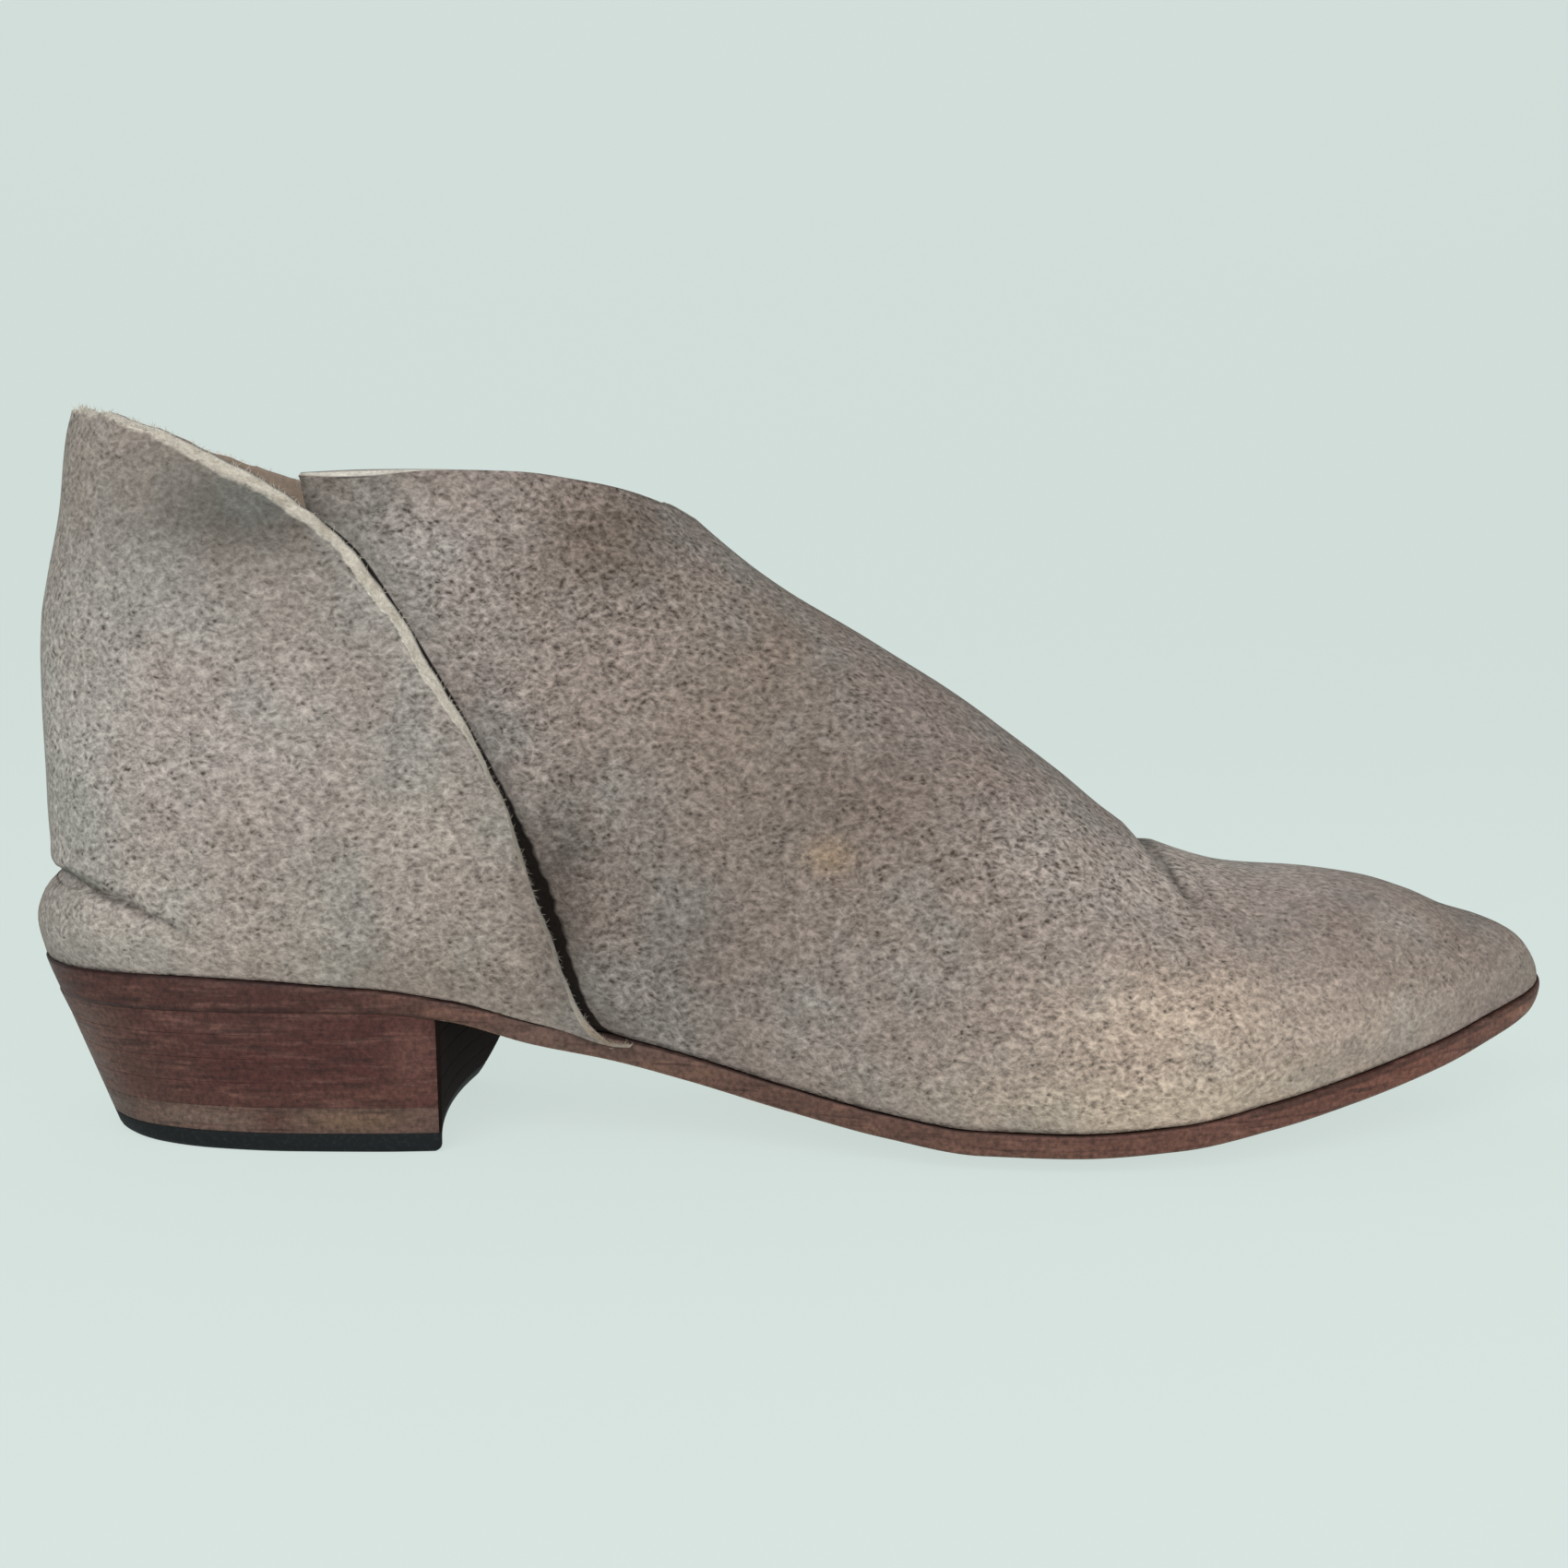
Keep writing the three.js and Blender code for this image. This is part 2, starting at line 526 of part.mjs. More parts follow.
// Leather lifts, from the light one on the rubber up to the one that takes the curve of the outsole
function makeLift(number) {
  const lowest = topPieceThickness;
  const bottom = number === 1 ? lowest : lowest + firstLiftThickness + (number - 2) * liftThickness;
  const thickness = number === 1 ? firstLiftThickness : liftThickness;
  if (number < liftCount - 1) return heelSlice([bottom, bottom + thickness], [0, 0]);
  const top = number === liftCount ? heelHeight + soleThickness : bottom + thickness;
  const blank = toSolid(heelSlice([bottom, top], [0, 0]));
  const seat = Array.from({ length: stationCount / 2 }, (_, i) => {
    const x = soleBack + angleToShare(Math.PI * i / stationCount) * soleLength;
    return [x, soleUnderside(x, 0) - clearance];
  });
  const start = -ballWidth;
  const end = seat[seat.length - 1][0];
  const far = 2 * collarHeight;
  const outline = [[start, seat[0][1]], ...seat, [end, far], [start, far]];
  return toGeometry(blank.subtract(sidePlate(outline)));
}

const liftCount = 1 + Math.round((heelHeight - topPieceThickness - firstLiftThickness) / liftThickness);

function leather(color, roughness) {
  return new THREE.MeshStandardMaterial({ color, roughness, metalness: 0 });
}

const upperLeather = leather('#8f867d', 0.85);
const sockLeather = leather('#7a6a5c', 0.8);
const soleLeather = leather('#6e5046', 0.6);
const heelLeather = leather('#5c3d37', 0.6);
const wornHeelLeather = leather('#7a6557', 0.7);
const rubber = leather('#1e2122', 0.75);

const bootie = new THREE.Group();

function addPiece(name, geometry, material) {
  const mesh = new THREE.Mesh(geometry, material);
  mesh.name = name;
  bootie.add(mesh);
}

addPiece('vamp', toGeometry(makeVamp()), upperLeather);
addPiece('heel_panel', toGeometry(makeHeelPanel()), upperLeather);
addPiece('insole', makeInsole(), sockLeather);
addPiece('outsole', makeOutsole(), soleLeather);
for (let number = 1; number <= liftCount; number += 1) {
  const material = number === 1 ? wornHeelLeather : heelLeather;
  addPiece(`heel_lift_${number}`, makeLift(number), material);
}
const topPieceHeights = [0, topPieceRounding, topPieceThickness];
addPiece('heel_top_piece', heelSlice(topPieceHeights, [topPieceRounding, 0, 0]), rubber);

// The origin lies on the floor, under the middle of the shoe
const bounds = new THREE.Box3().setFromObject(bootie);
const centre = bounds.getCenter(new THREE.Vector3());
bootie.position.set(-centre.x, -centre.y, -bounds.min.z);

export default bootie;
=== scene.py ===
# %% [markdown]
# # An ankle bootie for the right foot
#
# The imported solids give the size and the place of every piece. This lesson dresses them: a worn nubuck upper
# of two panels, a leather sole, a stacked heel with a rubber walking piece, and the sock inside. All sizes
# here are millimetres on the shoe, and turn into metres only when a mesh is made.

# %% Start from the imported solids
import math

import bpy
import numpy as np
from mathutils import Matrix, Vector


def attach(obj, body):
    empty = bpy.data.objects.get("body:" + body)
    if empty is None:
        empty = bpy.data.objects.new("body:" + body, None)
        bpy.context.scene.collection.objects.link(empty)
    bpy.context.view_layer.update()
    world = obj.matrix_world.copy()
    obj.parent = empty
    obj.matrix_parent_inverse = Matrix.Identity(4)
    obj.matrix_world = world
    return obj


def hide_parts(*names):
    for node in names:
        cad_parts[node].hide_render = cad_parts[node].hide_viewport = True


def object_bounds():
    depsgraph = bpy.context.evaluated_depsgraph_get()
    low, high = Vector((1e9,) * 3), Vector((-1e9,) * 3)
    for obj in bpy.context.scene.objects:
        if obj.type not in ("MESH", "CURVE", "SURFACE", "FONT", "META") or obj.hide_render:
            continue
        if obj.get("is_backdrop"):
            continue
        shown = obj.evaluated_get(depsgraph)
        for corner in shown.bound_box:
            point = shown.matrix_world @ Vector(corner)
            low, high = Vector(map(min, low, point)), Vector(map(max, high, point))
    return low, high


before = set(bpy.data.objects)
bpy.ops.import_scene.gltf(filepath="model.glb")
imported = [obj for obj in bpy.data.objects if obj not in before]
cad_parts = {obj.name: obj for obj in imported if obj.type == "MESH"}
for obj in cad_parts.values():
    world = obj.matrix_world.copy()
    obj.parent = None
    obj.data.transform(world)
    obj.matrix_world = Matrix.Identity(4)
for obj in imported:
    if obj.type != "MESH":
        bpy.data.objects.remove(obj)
cad_low, cad_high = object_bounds()
MM = 0.001
print("solids:", ", ".join(sorted(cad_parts)))

# %% [markdown]
# ## The camera
#
# The picture was taken from close by, a little above the collar and looking slightly down, level with the
# middle of the shoe. A short distance matters: it shows the heel's breast and the inside of the far panel.

# %% Put the camera where the picture was taken
LENS, SENSOR = 49.17, 36
CAMERA_PLACE, LOOKING_DOWN = (-2.6, -385.9, 104.6), 6.49


def new_object(name, data):
    made = bpy.data.objects.new(name, data)
    bpy.context.scene.collection.objects.link(made)
    return made


camera_data = bpy.data.cameras.new("camera")
camera_data.sensor_width = SENSOR
camera_data.lens = LENS
camera = new_object("camera", camera_data)
camera.location = [v * MM for v in CAMERA_PLACE]
camera.rotation_euler = (math.radians(90 - LOOKING_DOWN), 0, 0)
bpy.context.scene.camera = camera
print("camera at", [round(v, 4) for v in camera.location])

# %% [markdown]
# ## The shape of the last
#
# A shoe takes its shape from the last that it was made on. The same tables as the solids' are used here, but
# with sections far closer together, so that the leather looks smooth and can carry creases. Each row is a
# section, from the heel (0) to the toe (1).

# %% Sizes and tables of the last
COLLAR, HALF_BALL = 126.8, 42.3
HEEL_HEIGHT, TOE_SPRING, BACK_LEAN = 25.2, 21.4, 10.0
LAST_LENGTH, LAST_BACK = 271.2, 2.7
SOLE_LENGTH, SOLE_BACK = 272.3, 1.8
VAMP_WALL, PANEL_WALL, CLEARANCE = 1.9, 2.4, 0.3
ORIGIN_X, ORIGIN_Y = 137.558, 0.890
ORIGIN = np.array([ORIGIN_X, ORIGIN_Y, 0])
SOLE_THICK, CROWN_RISE, CROWN_DROP = 4.4, 3.6, 0.35

# along, outer, inner, swing, heel, toe, crown, thick
SOLE_ROWS = np.array([
    (0, 0, 0, 0, 1, 0, 0, 1.36), (0.02, 0.378, 0.378, 0, 1, 0, 0, 1.36),
    (0.05, 0.544, 0.544, 0, 1, 0, 0, 1.36), (0.1, 0.662, 0.662, 0, 1, 0, 0, 1.36),
    (0.16, 0.714, 0.709, 0, 1, 0, 0, 1.22), (0.23, 0.723, 0.7, 0, 0.996, 0, 0, 0.92),
    (0.28, 0.707, 0.662, 0, 0.937, 0, 0, 0.78), (0.33, 0.693, 0.622, 0, 0.775, 0, 0.05, 0.86),
    (0.38, 0.69, 0.596, 0, 0.65, 0, 0.15, 0.9), (0.43, 0.714, 0.596, 0, 0.494, 0, 0.3, 0.95),
    (0.49, 0.775, 0.643, 0.004, 0.28, 0, 0.6, 0.92), (0.55, 0.872, 0.742, 0.01, 0.1, 0, 0.9, 0.9),
    (0.61, 0.96, 0.875, 0.018, 0, 0, 1, 0.9), (0.67, 1.014, 0.974, 0.03, 0, 0, 1, 0.89),
    (0.73, 0.998, 0.983, 0.045, 0, 0.048, 0.97, 0.92), (0.79, 0.898, 0.903, 0.062, 0, 0.178, 0.8, 1),
    (0.85, 0.723, 0.747, 0.08, 0, 0.339, 0.55, 1.05), (0.91, 0.506, 0.525, 0.098, 0, 0.528, 0.3, 1.07),
    (0.96, 0.288, 0.298, 0.112, 0, 0.726, 0.1, 1.03), (1, 0, 0, 0.12, 0, 1, 0, 0.86),
])
# along, crest, collar, leg, round, under
UPPER_ROWS = np.array([
    (0, 1.2, 0, 1, 9, 1), (0.02, 1.2, 0.3, 1, 9, 1),
    (0.05, 1.2, 0.44, 1, 9, 1), (0.1, 1.2, 0.545, 1, 9, 1),
    (0.16, 1.2, 0.59, 1, 9, 1), (0.23, 1.19, 0.6, 1, 9, 1),
    (0.28, 1.16, 0.595, 1, 8, 0.9), (0.33, 1.09, 0.58, 0.95, 6, 0.65),
    (0.38, 0.973, 0.56, 0.75, 4, 0.4), (0.43, 0.852, 0.54, 0.4, 3, 0.15),
    (0.49, 0.754, 0.54, 0.1, 2.5, 0), (0.55, 0.678, 0.6, 0, 2.3, 0),
    (0.61, 0.596, 0.7, 0, 2.2, 0), (0.67, 0.498, 0.8, 0, 2.2, 0),
    (0.73, 0.401, 0.8, 0, 2.3, 0), (0.79, 0.362, 0.7, 0, 2.4, 0),
    (0.85, 0.351, 0.6, 0, 2.5, 0), (0.88, 0.343, 0.5, 0, 2.5, 0),
    (0.91, 0.323, 0.4, 0, 2.5, 0), (0.935, 0.3, 0.3, 0, 2.5, 0),
    (0.96, 0.286, 0.2, 0, 2.5, 0), (1, 0.23, 0, 0, 2.5, 0),
])
# height, inset
BACK_ROWS = np.array([
    (0.240, 0.14), (0.295, 0.00), (0.325, 0.13), (0.352, 0.42), (0.395, 0.32), (0.470, 0.27),
    (0.660, 0.26), (0.715, 0.31), (0.770, 0.45), (0.870, 0.72), (0.970, 0.90), (1.000, 1.00),
])
print("sections in the tables:", len(SOLE_ROWS), "for the sole and", len(UPPER_ROWS), "for the upper")


# %% A smooth curve through a table, and the form of the last
def smooth_curve(xs, ys):
    xs, ys = np.asarray(xs, float), np.asarray(ys, float)
    steps = np.diff(ys) / np.diff(xs)
    slopes = np.zeros_like(ys)
    slopes[0], slopes[-1] = steps[0], steps[-1]
    same = steps[:-1] * steps[1:] > 0
    slopes[1:-1][same] = 2 / (1 / steps[:-1][same] + 1 / steps[1:][same])

    def at(u):
        u = np.clip(u, xs[0], xs[-1])
        i = np.clip(np.searchsorted(xs, u) - 1, 0, len(xs) - 2)
        width = xs[i + 1] - xs[i]
        t = (u - xs[i]) / width
        bend = slopes[i] * width * t * (1 - t) ** 2 - slopes[i + 1] * width * t**2 * (1 - t)
        return ys[i] + (ys[i + 1] - ys[i]) * t**2 * (3 - 2 * t) + bend

    return at


def to_angle(share):
    return np.arccos(np.clip(1 - 2 * np.asarray(share, float), -1, 1))


def to_share(angle):
    return (1 - np.cos(angle)) / 2


def table_columns(rows, names):
    curves = {n: smooth_curve(to_angle(rows[:, 0]), rows[:, k + 1]) for k, n in enumerate(names)}
    return {n: (lambda share, c=c: c(to_angle(share))) for n, c in curves.items()}


sole = table_columns(SOLE_ROWS, ["outer", "inner", "swing", "heel", "toe", "crown", "thick"])
upper = table_columns(UPPER_ROWS, ["crest", "collar", "leg", "round", "under"])
back_inset = smooth_curve(*BACK_ROWS.T)


def sole_half(share, side):
    return np.where(side < 0, sole["outer"](share), sole["inner"](share)) * HALF_BALL


def sole_underside(x, y):
    share = np.clip((x - SOLE_BACK) / SOLE_LENGTH, 0, 1)
    middle = sole["swing"](share) * HALF_BALL
    half = np.maximum(sole_half(share, np.sign(y - middle)), 1)
    across = np.minimum(np.abs(y - middle) / half, 1)
    crown = sole["crown"](share) * (CROWN_RISE * across**2 - CROWN_DROP)
    return sole["heel"](share) * HEEL_HEIGHT + sole["toe"](share) * TOE_SPRING + crown


def sole_top(x, y):
    share = np.clip((x - SOLE_BACK) / SOLE_LENGTH, 0, 1)
    return sole_underside(x, y) + sole["thick"](share) * SOLE_THICK


def foot_width(share, side):
    half = sole_half(share, side)
    return half - (0.9 + upper["under"](share) * LAST_BACK) * np.minimum(1, half / 10)


def feather_height(share, side):
    middle = sole["swing"](share) * HALF_BALL
    return sole_top(LAST_BACK + share * LAST_LENGTH, middle + side * foot_width(share, side)) + CLEARANCE


def arch_lengths(share, side, steps=90):
    """Heights up an arch, as shares of it, and the length of leather up to each."""
    turn = np.pi / 2 * np.arange(steps + 1) / steps
    height = upper["crest"](share) * COLLAR - feather_height(share, side)
    rise = np.sin(turn) ** (2 / upper["round"](share)[..., None])
    out = foot_width(share, side)[..., None] * np.cos(turn)
    seg = np.hypot(np.diff(rise, axis=-1) * height[..., None], np.diff(out, axis=-1))
    lengths = np.concatenate([np.zeros(share.shape + (1,)), np.cumsum(seg, axis=-1)], axis=-1)
    return rise, lengths / lengths[..., -1:]


def arch_rise(share, side, climb):
    rise, lengths = arch_lengths(share, side)
    i = np.clip((lengths < climb[..., None]).sum(-1), 1, lengths.shape[-1] - 1)[..., None]
    low, high = np.take_along_axis(lengths, i - 1, -1), np.take_along_axis(lengths, i, -1)
    part = (climb[..., None] - low) / np.maximum(high - low, 1e-12)
    below, above = np.take_along_axis(rise, i - 1, -1), np.take_along_axis(rise, i, -1)
    return np.clip((below + (above - below) * part)[..., 0], 0, 1)


def form_points(share, side, climb):
    """Points on the last: share along it, side -1 outer or 1 inner, climb from sole (0) to crest (1)."""
    share, climb = np.broadcast_arrays(np.asarray(share, float), np.asarray(climb, float))
    along = LAST_BACK + share * LAST_LENGTH
    foot = foot_width(share, side)
    feather = feather_height(share, side)
    crest = upper["crest"](share) * COLLAR
    rise = arch_rise(share, side, climb)
    z = feather + (crest - feather) * rise
    lean = np.clip((z - feather) / (COLLAR - feather), 0, 1) * upper["leg"](share)
    tuck = 1.6 * (1 - np.exp(-(((z - feather) / 5) ** 2))) * np.minimum(1, foot / 10)
    width = foot + (upper["collar"](share) * HALF_BALL - foot) * lean + tuck
    arch = np.sqrt(np.maximum(0, 1 - rise ** upper["round"](share)))
    back = back_inset(z / COLLAR) * BACK_LEAN * np.maximum(0, 1 - share / 0.25) ** 2
    tip = 2.2 * rise**2 * np.maximum(0, 1 - (1 - share) / 0.08) ** 2
    y = sole["swing"](share) * HALF_BALL + side * width * arch
    return np.stack([along + back - tip - ORIGIN_X, y - ORIGIN_Y, z], axis=-1)


print("tip of the last:", np.round(form_points([1.0], -1, [0.5]), 1).tolist())

# %% [markdown]
# ## Helpers for leather
#
# Each panel starts as a sheet of squares on the last. Creases and soft swellings push it in and out along its
# own normals, then the sheet gets a wall: the same squares again on the inside, and strips that close the
# cut edges. The strips keep their own material, because a raw edge shows the pale middle of the hide.


# %% Sheets, normals and walls
OUTSIDE, INSIDE, CUT = 0, 1, 2


def square_faces(index, turned=False):
    a, b, c, d = index[:-1, :-1], index[1:, :-1], index[1:, 1:], index[:-1, 1:]
    quads = np.stack([a, b, c, d], axis=-1).reshape(-1, 4)
    return quads[:, ::-1] if turned else quads


def sheet_normals(points, quads):
    a, b, c, d = (points[quads[:, k]] for k in range(4))
    face = np.cross(c - a, d - b)
    total = np.zeros_like(points)
    for k in range(4):
        np.add.at(total, quads[:, k], face)
    return total / np.maximum(np.linalg.norm(total, axis=1, keepdims=True), 1e-9)


def open_edges(quads):
    edges = np.concatenate([quads[:, [k, (k + 1) % 4]] for k in range(4)])
    edges = edges[edges[:, 0] != edges[:, 1]]
    there = set(map(tuple, edges))
    return np.array([e for e in edges if (e[1], e[0]) not in there])


def compact(points, quads):
    """Drop the points that no face uses. Gives the points, the faces and which points were kept."""
    used = np.unique(quads)
    renumber = np.zeros(len(points), int)
    renumber[used] = np.arange(len(used))
    return points[used], renumber[quads], used


def distinct(quads):
    """Faces without repeated corners, so that a square that shrank to a line can be left out."""
    return [list(dict.fromkeys(quad)) for quad in quads.tolist()]


def walled(outer, inner, quads, edge_rows):
    """A closed shell. Gives points, faces, and for each face OUTSIDE, INSIDE or CUT."""
    count = len(outer)
    edges = open_edges(quads)
    rim = np.unique(edges)
    place = {v: k for k, v in enumerate(rim)}
    rows = [rim]
    points = [outer, inner]
    start = 2 * count
    for row in range(1, edge_rows):
        t = row / edge_rows
        points.append(outer[rim] * (1 - t) + inner[rim] * t)
        rows.append(np.arange(start, start + len(rim)))
        start += len(rim)
    rows.append(rim + count)
    faces = [(face, OUTSIDE) for face in distinct(quads)]
    faces += [(face, INSIDE) for face in distinct(quads[:, ::-1] + count)]
    for a, b in edges.tolist():
        for above, below in zip(rows, rows[1:]):
            corners = above[place[b]], above[place[a]], below[place[a]], below[place[b]]
            faces.append(([int(v) for v in corners], CUT))
    faces = [(face, kind) for face, kind in faces if len(face) > 2]
    return np.concatenate(points), [face for face, _ in faces], [kind for _, kind in faces]


def make_piece(name, points, faces, materials, kinds, tone, nodes, coarse=None, from_shadow=None):
    mesh = bpy.data.meshes.new(name)
    mesh.from_pydata((points * MM).tolist(), [], faces)
    for material in materials:
        mesh.materials.append(material)
    mesh.polygons.foreach_set("material_index", kinds)
    mesh.polygons.foreach_set("use_smooth", [True] * len(mesh.polygons))
    layer = mesh.color_attributes.new("tone", "FLOAT_COLOR", "POINT")
    coarse = np.full((len(tone), 1), 0.5) if coarse is None else coarse[:, None]
    layer.data.foreach_set("color", np.concatenate([tone, coarse], 1).astype(np.float32).ravel())
    from_shadow = np.full(len(points), 9.0) if from_shadow is None else from_shadow
    gap = mesh.attributes.new("from_shadow", "FLOAT", "POINT")
    gap.data.foreach_set("value", from_shadow.astype(np.float32))
    mesh.validate()
    piece = new_object(name, mesh)
    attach(piece, "root")
    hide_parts(*nodes)
    print(f"{name}: {sum(len(p.vertices) - 2 for p in mesh.polygons)} triangles")


# %% Creases, swellings and patches of colour on the side of the shoe
def bend_line(points, line):
    """Signed distance of every point from a line drawn on the side, and how far along the line it is."""
    at, line = points[:, [0, 2]], np.asarray(line, float)
    best = np.full(len(at), 1e9)
    where, sign = np.zeros(len(at)), np.ones(len(at))
    lengths = np.concatenate([[0], np.cumsum(np.linalg.norm(np.diff(line, axis=0), axis=1))])
    for k in range(len(line) - 1):
        a, ab = line[k], line[k + 1] - line[k]
        t = np.clip(((at - a) @ ab) / (ab @ ab), 0, 1)
        gap = at - a - t[:, None] * ab
        d = np.linalg.norm(gap, axis=1)
        near = d < best
        best[near] = d[near]
        where[near] = (lengths[k] + t * np.linalg.norm(ab))[near] / lengths[-1]
        sign[near] = np.sign(ab[0] * gap[:, 1] - ab[1] * gap[:, 0])[near]
    return best * sign, where


def crease(points, line, depth, width, side, ridge, ends):
    """A soft trough along a line, with a ridge on its upper side. ends: how deep it still is at each end."""
    distance, where = bend_line(points, line)
    fade = ends[0] + (1 - ends[0]) * np.clip(where / 0.25, 0, 1)
    fade *= ends[1] + (1 - ends[1]) * np.clip((1 - where) / 0.5, 0, 1)
    out = np.exp(-((distance / width) ** 2))
    out = out - ridge * np.exp(-(((distance - 2.2 * width) / (1.6 * width)) ** 2))
    there = points[:, 1] < 0 if side < 0 else points[:, 1] >= 0
    return -depth * fade * out * there


def crease_dirt_and_shade(points, lines, width=0.9):
    """How much darker the creases are painted, partly for dirt and partly as painted shade: 1 in the middle of
    one, 0 away from them all.
    """
    total = np.zeros(len(points))
    for line, amount in lines:
        distance, where = bend_line(points, line)
        fade = np.clip((1 - where) / 0.4, 0, 1)
        total = np.maximum(total, amount * fade * np.exp(-((distance / width) ** 2)))
    return total


def spot(points, x, z, rx, rz, turn=0.0):
    """1 at a place on the side of the shoe, fading out over the reaches rx and rz, turned by some degrees."""
    dx, dz = points[:, 0] - x, points[:, 2] - z
    c, s = math.cos(math.radians(turn)), math.sin(math.radians(turn))
    u, v = (dx * c + dz * s) / rx, (-dx * s + dz * c) / rz
    return np.exp(-(u**2 + v**2))


def swelling(points, x, z, rx, rz, amount, side=0, turn=0.0):
    """A soft bump, or a hollow where amount is below 0, on one side or on both (0)."""
    there = np.ones(len(points)) if side == 0 else (np.sign(points[:, 1] + 1e-9) == side)
    return amount * spot(points, x, z, rx, rz, turn) * there


def linear(colour):
    """An sRGB hex colour as linear red, green and blue."""
    parts = np.array([int(colour[k : k + 2], 16) / 255 for k in (1, 3, 5)])
    return np.where(parts <= 0.04045, parts / 12.92, ((parts + 0.055) / 1.055) ** 2.4)


def rgba(colour):
    return (*linear(colour), 1)


def painted(points, base, patches):
    """Colour of every point: a base, then soft patches of (x, z, reach along, reach up, colour, strength)."""
    tone = np.tile(linear(base), (len(points), 1))
    for *place, colour, strength in patches:
        tone += (linear(colour) - tone) * (strength * spot(points, *place))[:, None]
    return tone


def ripple(values, sizes, amounts, seed):
    """Slow random waves along a length, for edges that were cut by hand."""
    random = np.random.default_rng(seed)
    total = np.zeros(len(values))
    for size, amount in zip(sizes, amounts):
        grid = np.arange(values.min() - 2 * size, values.max() + 3 * size, size)
        total += amount * np.interp(values, grid, random.uniform(-1, 1, len(grid)))
    return total


# x, z, reach along, reach up, how much coarser the grain is there
COARSE_SPOTS = [
    (-33, 98, 22, 20, 0.45), (42, 52, 22, 12, 0.35), (108, 32, 14, 8, 0.25), (-98, 112, 26, 13, -0.45)]


def coarseness(points):
    """0 where the nap is rubbed smooth, 1 where the grain is open."""
    x, z = points[:, 0], points[:, 2]
    total = 0.55
    for *place, amount in COARSE_SPOTS:
        total = total + amount * spot(points, *place)
    total -= 0.45 * np.clip((x - 70) / 30, 0, 1)
    gap = z - sole_top(x + ORIGIN_X, points[:, 1] + ORIGIN_Y)
    return np.clip(total - 0.45 * np.exp(-((np.maximum(gap, 0) / 5) ** 2)), 0, 1)


print("helpers ready; grain is coarser or finer at", len(COARSE_SPOTS), "spots")

# %% [markdown]
# ## Finishes
#
# A material is a small network of nodes. One helper adds a node, sets it and links it. The broad patches of
# colour come from the colour attribute "tone", which is painted on each piece from listed spots; the
# grain, pits and streaks come from noise in Object coordinates, with sizes in real millimetres. What is
# finer than the picture can show, such as the hairs of the nap and the layers of a cut edge, is drawn as
# coarse as it needs to be.


# %% The node helper
def node(tree, kind, inputs=(), **settings):
    """Add a node. inputs: by name or number, or a list from the first on. Nodes and sockets are linked."""
    made = tree.nodes.new(("ShaderNode" if tree.bl_idname == "ShaderNodeTree" else "") + kind)
    for key, value in settings.items():
        setattr(made, key, value)
    for key, value in inputs.items() if isinstance(inputs, dict) else enumerate(inputs):
        if isinstance(value, bpy.types.Node):
            value = next(socket for socket in value.outputs if socket.enabled)
        if isinstance(value, bpy.types.NodeSocket):
            tree.links.new(value, made.inputs[key])
        else:
            made.inputs[key].default_value = value
    return made


def empty_tree(owner):
    owner.use_nodes = True
    owner.node_tree.nodes.clear()
    return owner.node_tree


def new_finish(name):
    material = bpy.data.materials.new(name)
    tree = empty_tree(material)
    place = node(tree, "TexCoord").outputs["Object"]
    return material, tree, place, node(tree, "Attribute", attribute_name="tone")


def close_finish(tree, inputs, height=None, strength=0.0, depth=0.0):
    """The last nodes: relief from a height, depth in mm, then the surface and the output."""
    if height is not None:
        bump = node(tree, "Bump", {"Strength": strength, "Distance": depth * MM, "Height": height})
        inputs = {**inputs, "Normal": bump}
    node(tree, "OutputMaterial", {"Surface": node(tree, "BsdfPrincipled", inputs)})
    print("nodes:", len(tree.nodes))


def per_mm(size):
    """A noise scale, in 1 over metres, for a pattern whose cells are this many millimetres."""
    return 1000 / size


# A Mix node of colours takes its share at input 0 and the two colours at 6 and 7.
COLOURS = {"data_type": "RGBA"}

# %% [markdown]
# ### Distressed nubuck
#
# Nubuck is the sanded grain side of the hide. Here it was tumbled and rubbed, so fine dark pits are left
# between pale worn ridges, and the dye has drifted into grey and beige clouds. It has almost no shine.

# %% Distressed nubuck
nubuck, tree, place, tone = new_finish("distressed_nubuck")
coarse = tone.outputs["Alpha"]
drift = node(tree, "TexNoise", {"Vector": place, "Scale": per_mm(3.6), "Detail": 1.0})
push = node(tree, "VectorMath", [drift.outputs["Color"], (0.5, 0.5, 0.5)], operation="SUBTRACT")
push = node(tree, "VectorMath", {0: push, "Scale": 0.0017}, operation="SCALE")
warped = node(tree, "VectorMath", [place, push], operation="ADD")
brushed = node(tree, "Mapping", {"Vector": warped, "Rotation": (0, 0.42, 0), "Scale": (0.70, 1, 1)})
pebble = node(tree, "TexVoronoi", {"Vector": brushed, "Scale": per_mm(0.95)}, feature="F1")
pit = node(tree, "MapRange", [pebble, 0.42, 0.12, 0.0, 1.0])
gate = node(tree, "Math", [coarse, 0.30, drift], operation="MULTIPLY_ADD")
gate = node(tree, "MapRange", [gate, 0.52, 0.80, 0.0, 1.0])
pits = node(tree, "Math", [pit, gate], operation="MULTIPLY")
vein = node(tree, "MapRange", [pebble, 0.50, 0.80, 0.0, 1.0])
nap = node(tree, "TexNoise", {"Vector": brushed, "Scale": per_mm(0.78), "Detail": 3.0, "Roughness": 0.72})
mottle = node(tree, "TexNoise", {"Vector": place, "Scale": per_mm(3.0), "Detail": 1.0})
cloud = node(tree, "TexNoise", {"Vector": place, "Scale": per_mm(17), "Detail": 2.0})
cool = node(tree, "MapRange", [cloud, 0.50, 0.70, 0.0, 0.30])
warm = node(tree, "MapRange", [cloud, 0.50, 0.30, 0.0, 0.22])
hue = node(tree, "Mix", {0: cool, 6: tone, 7: rgba("#7d817c")}, **COLOURS)
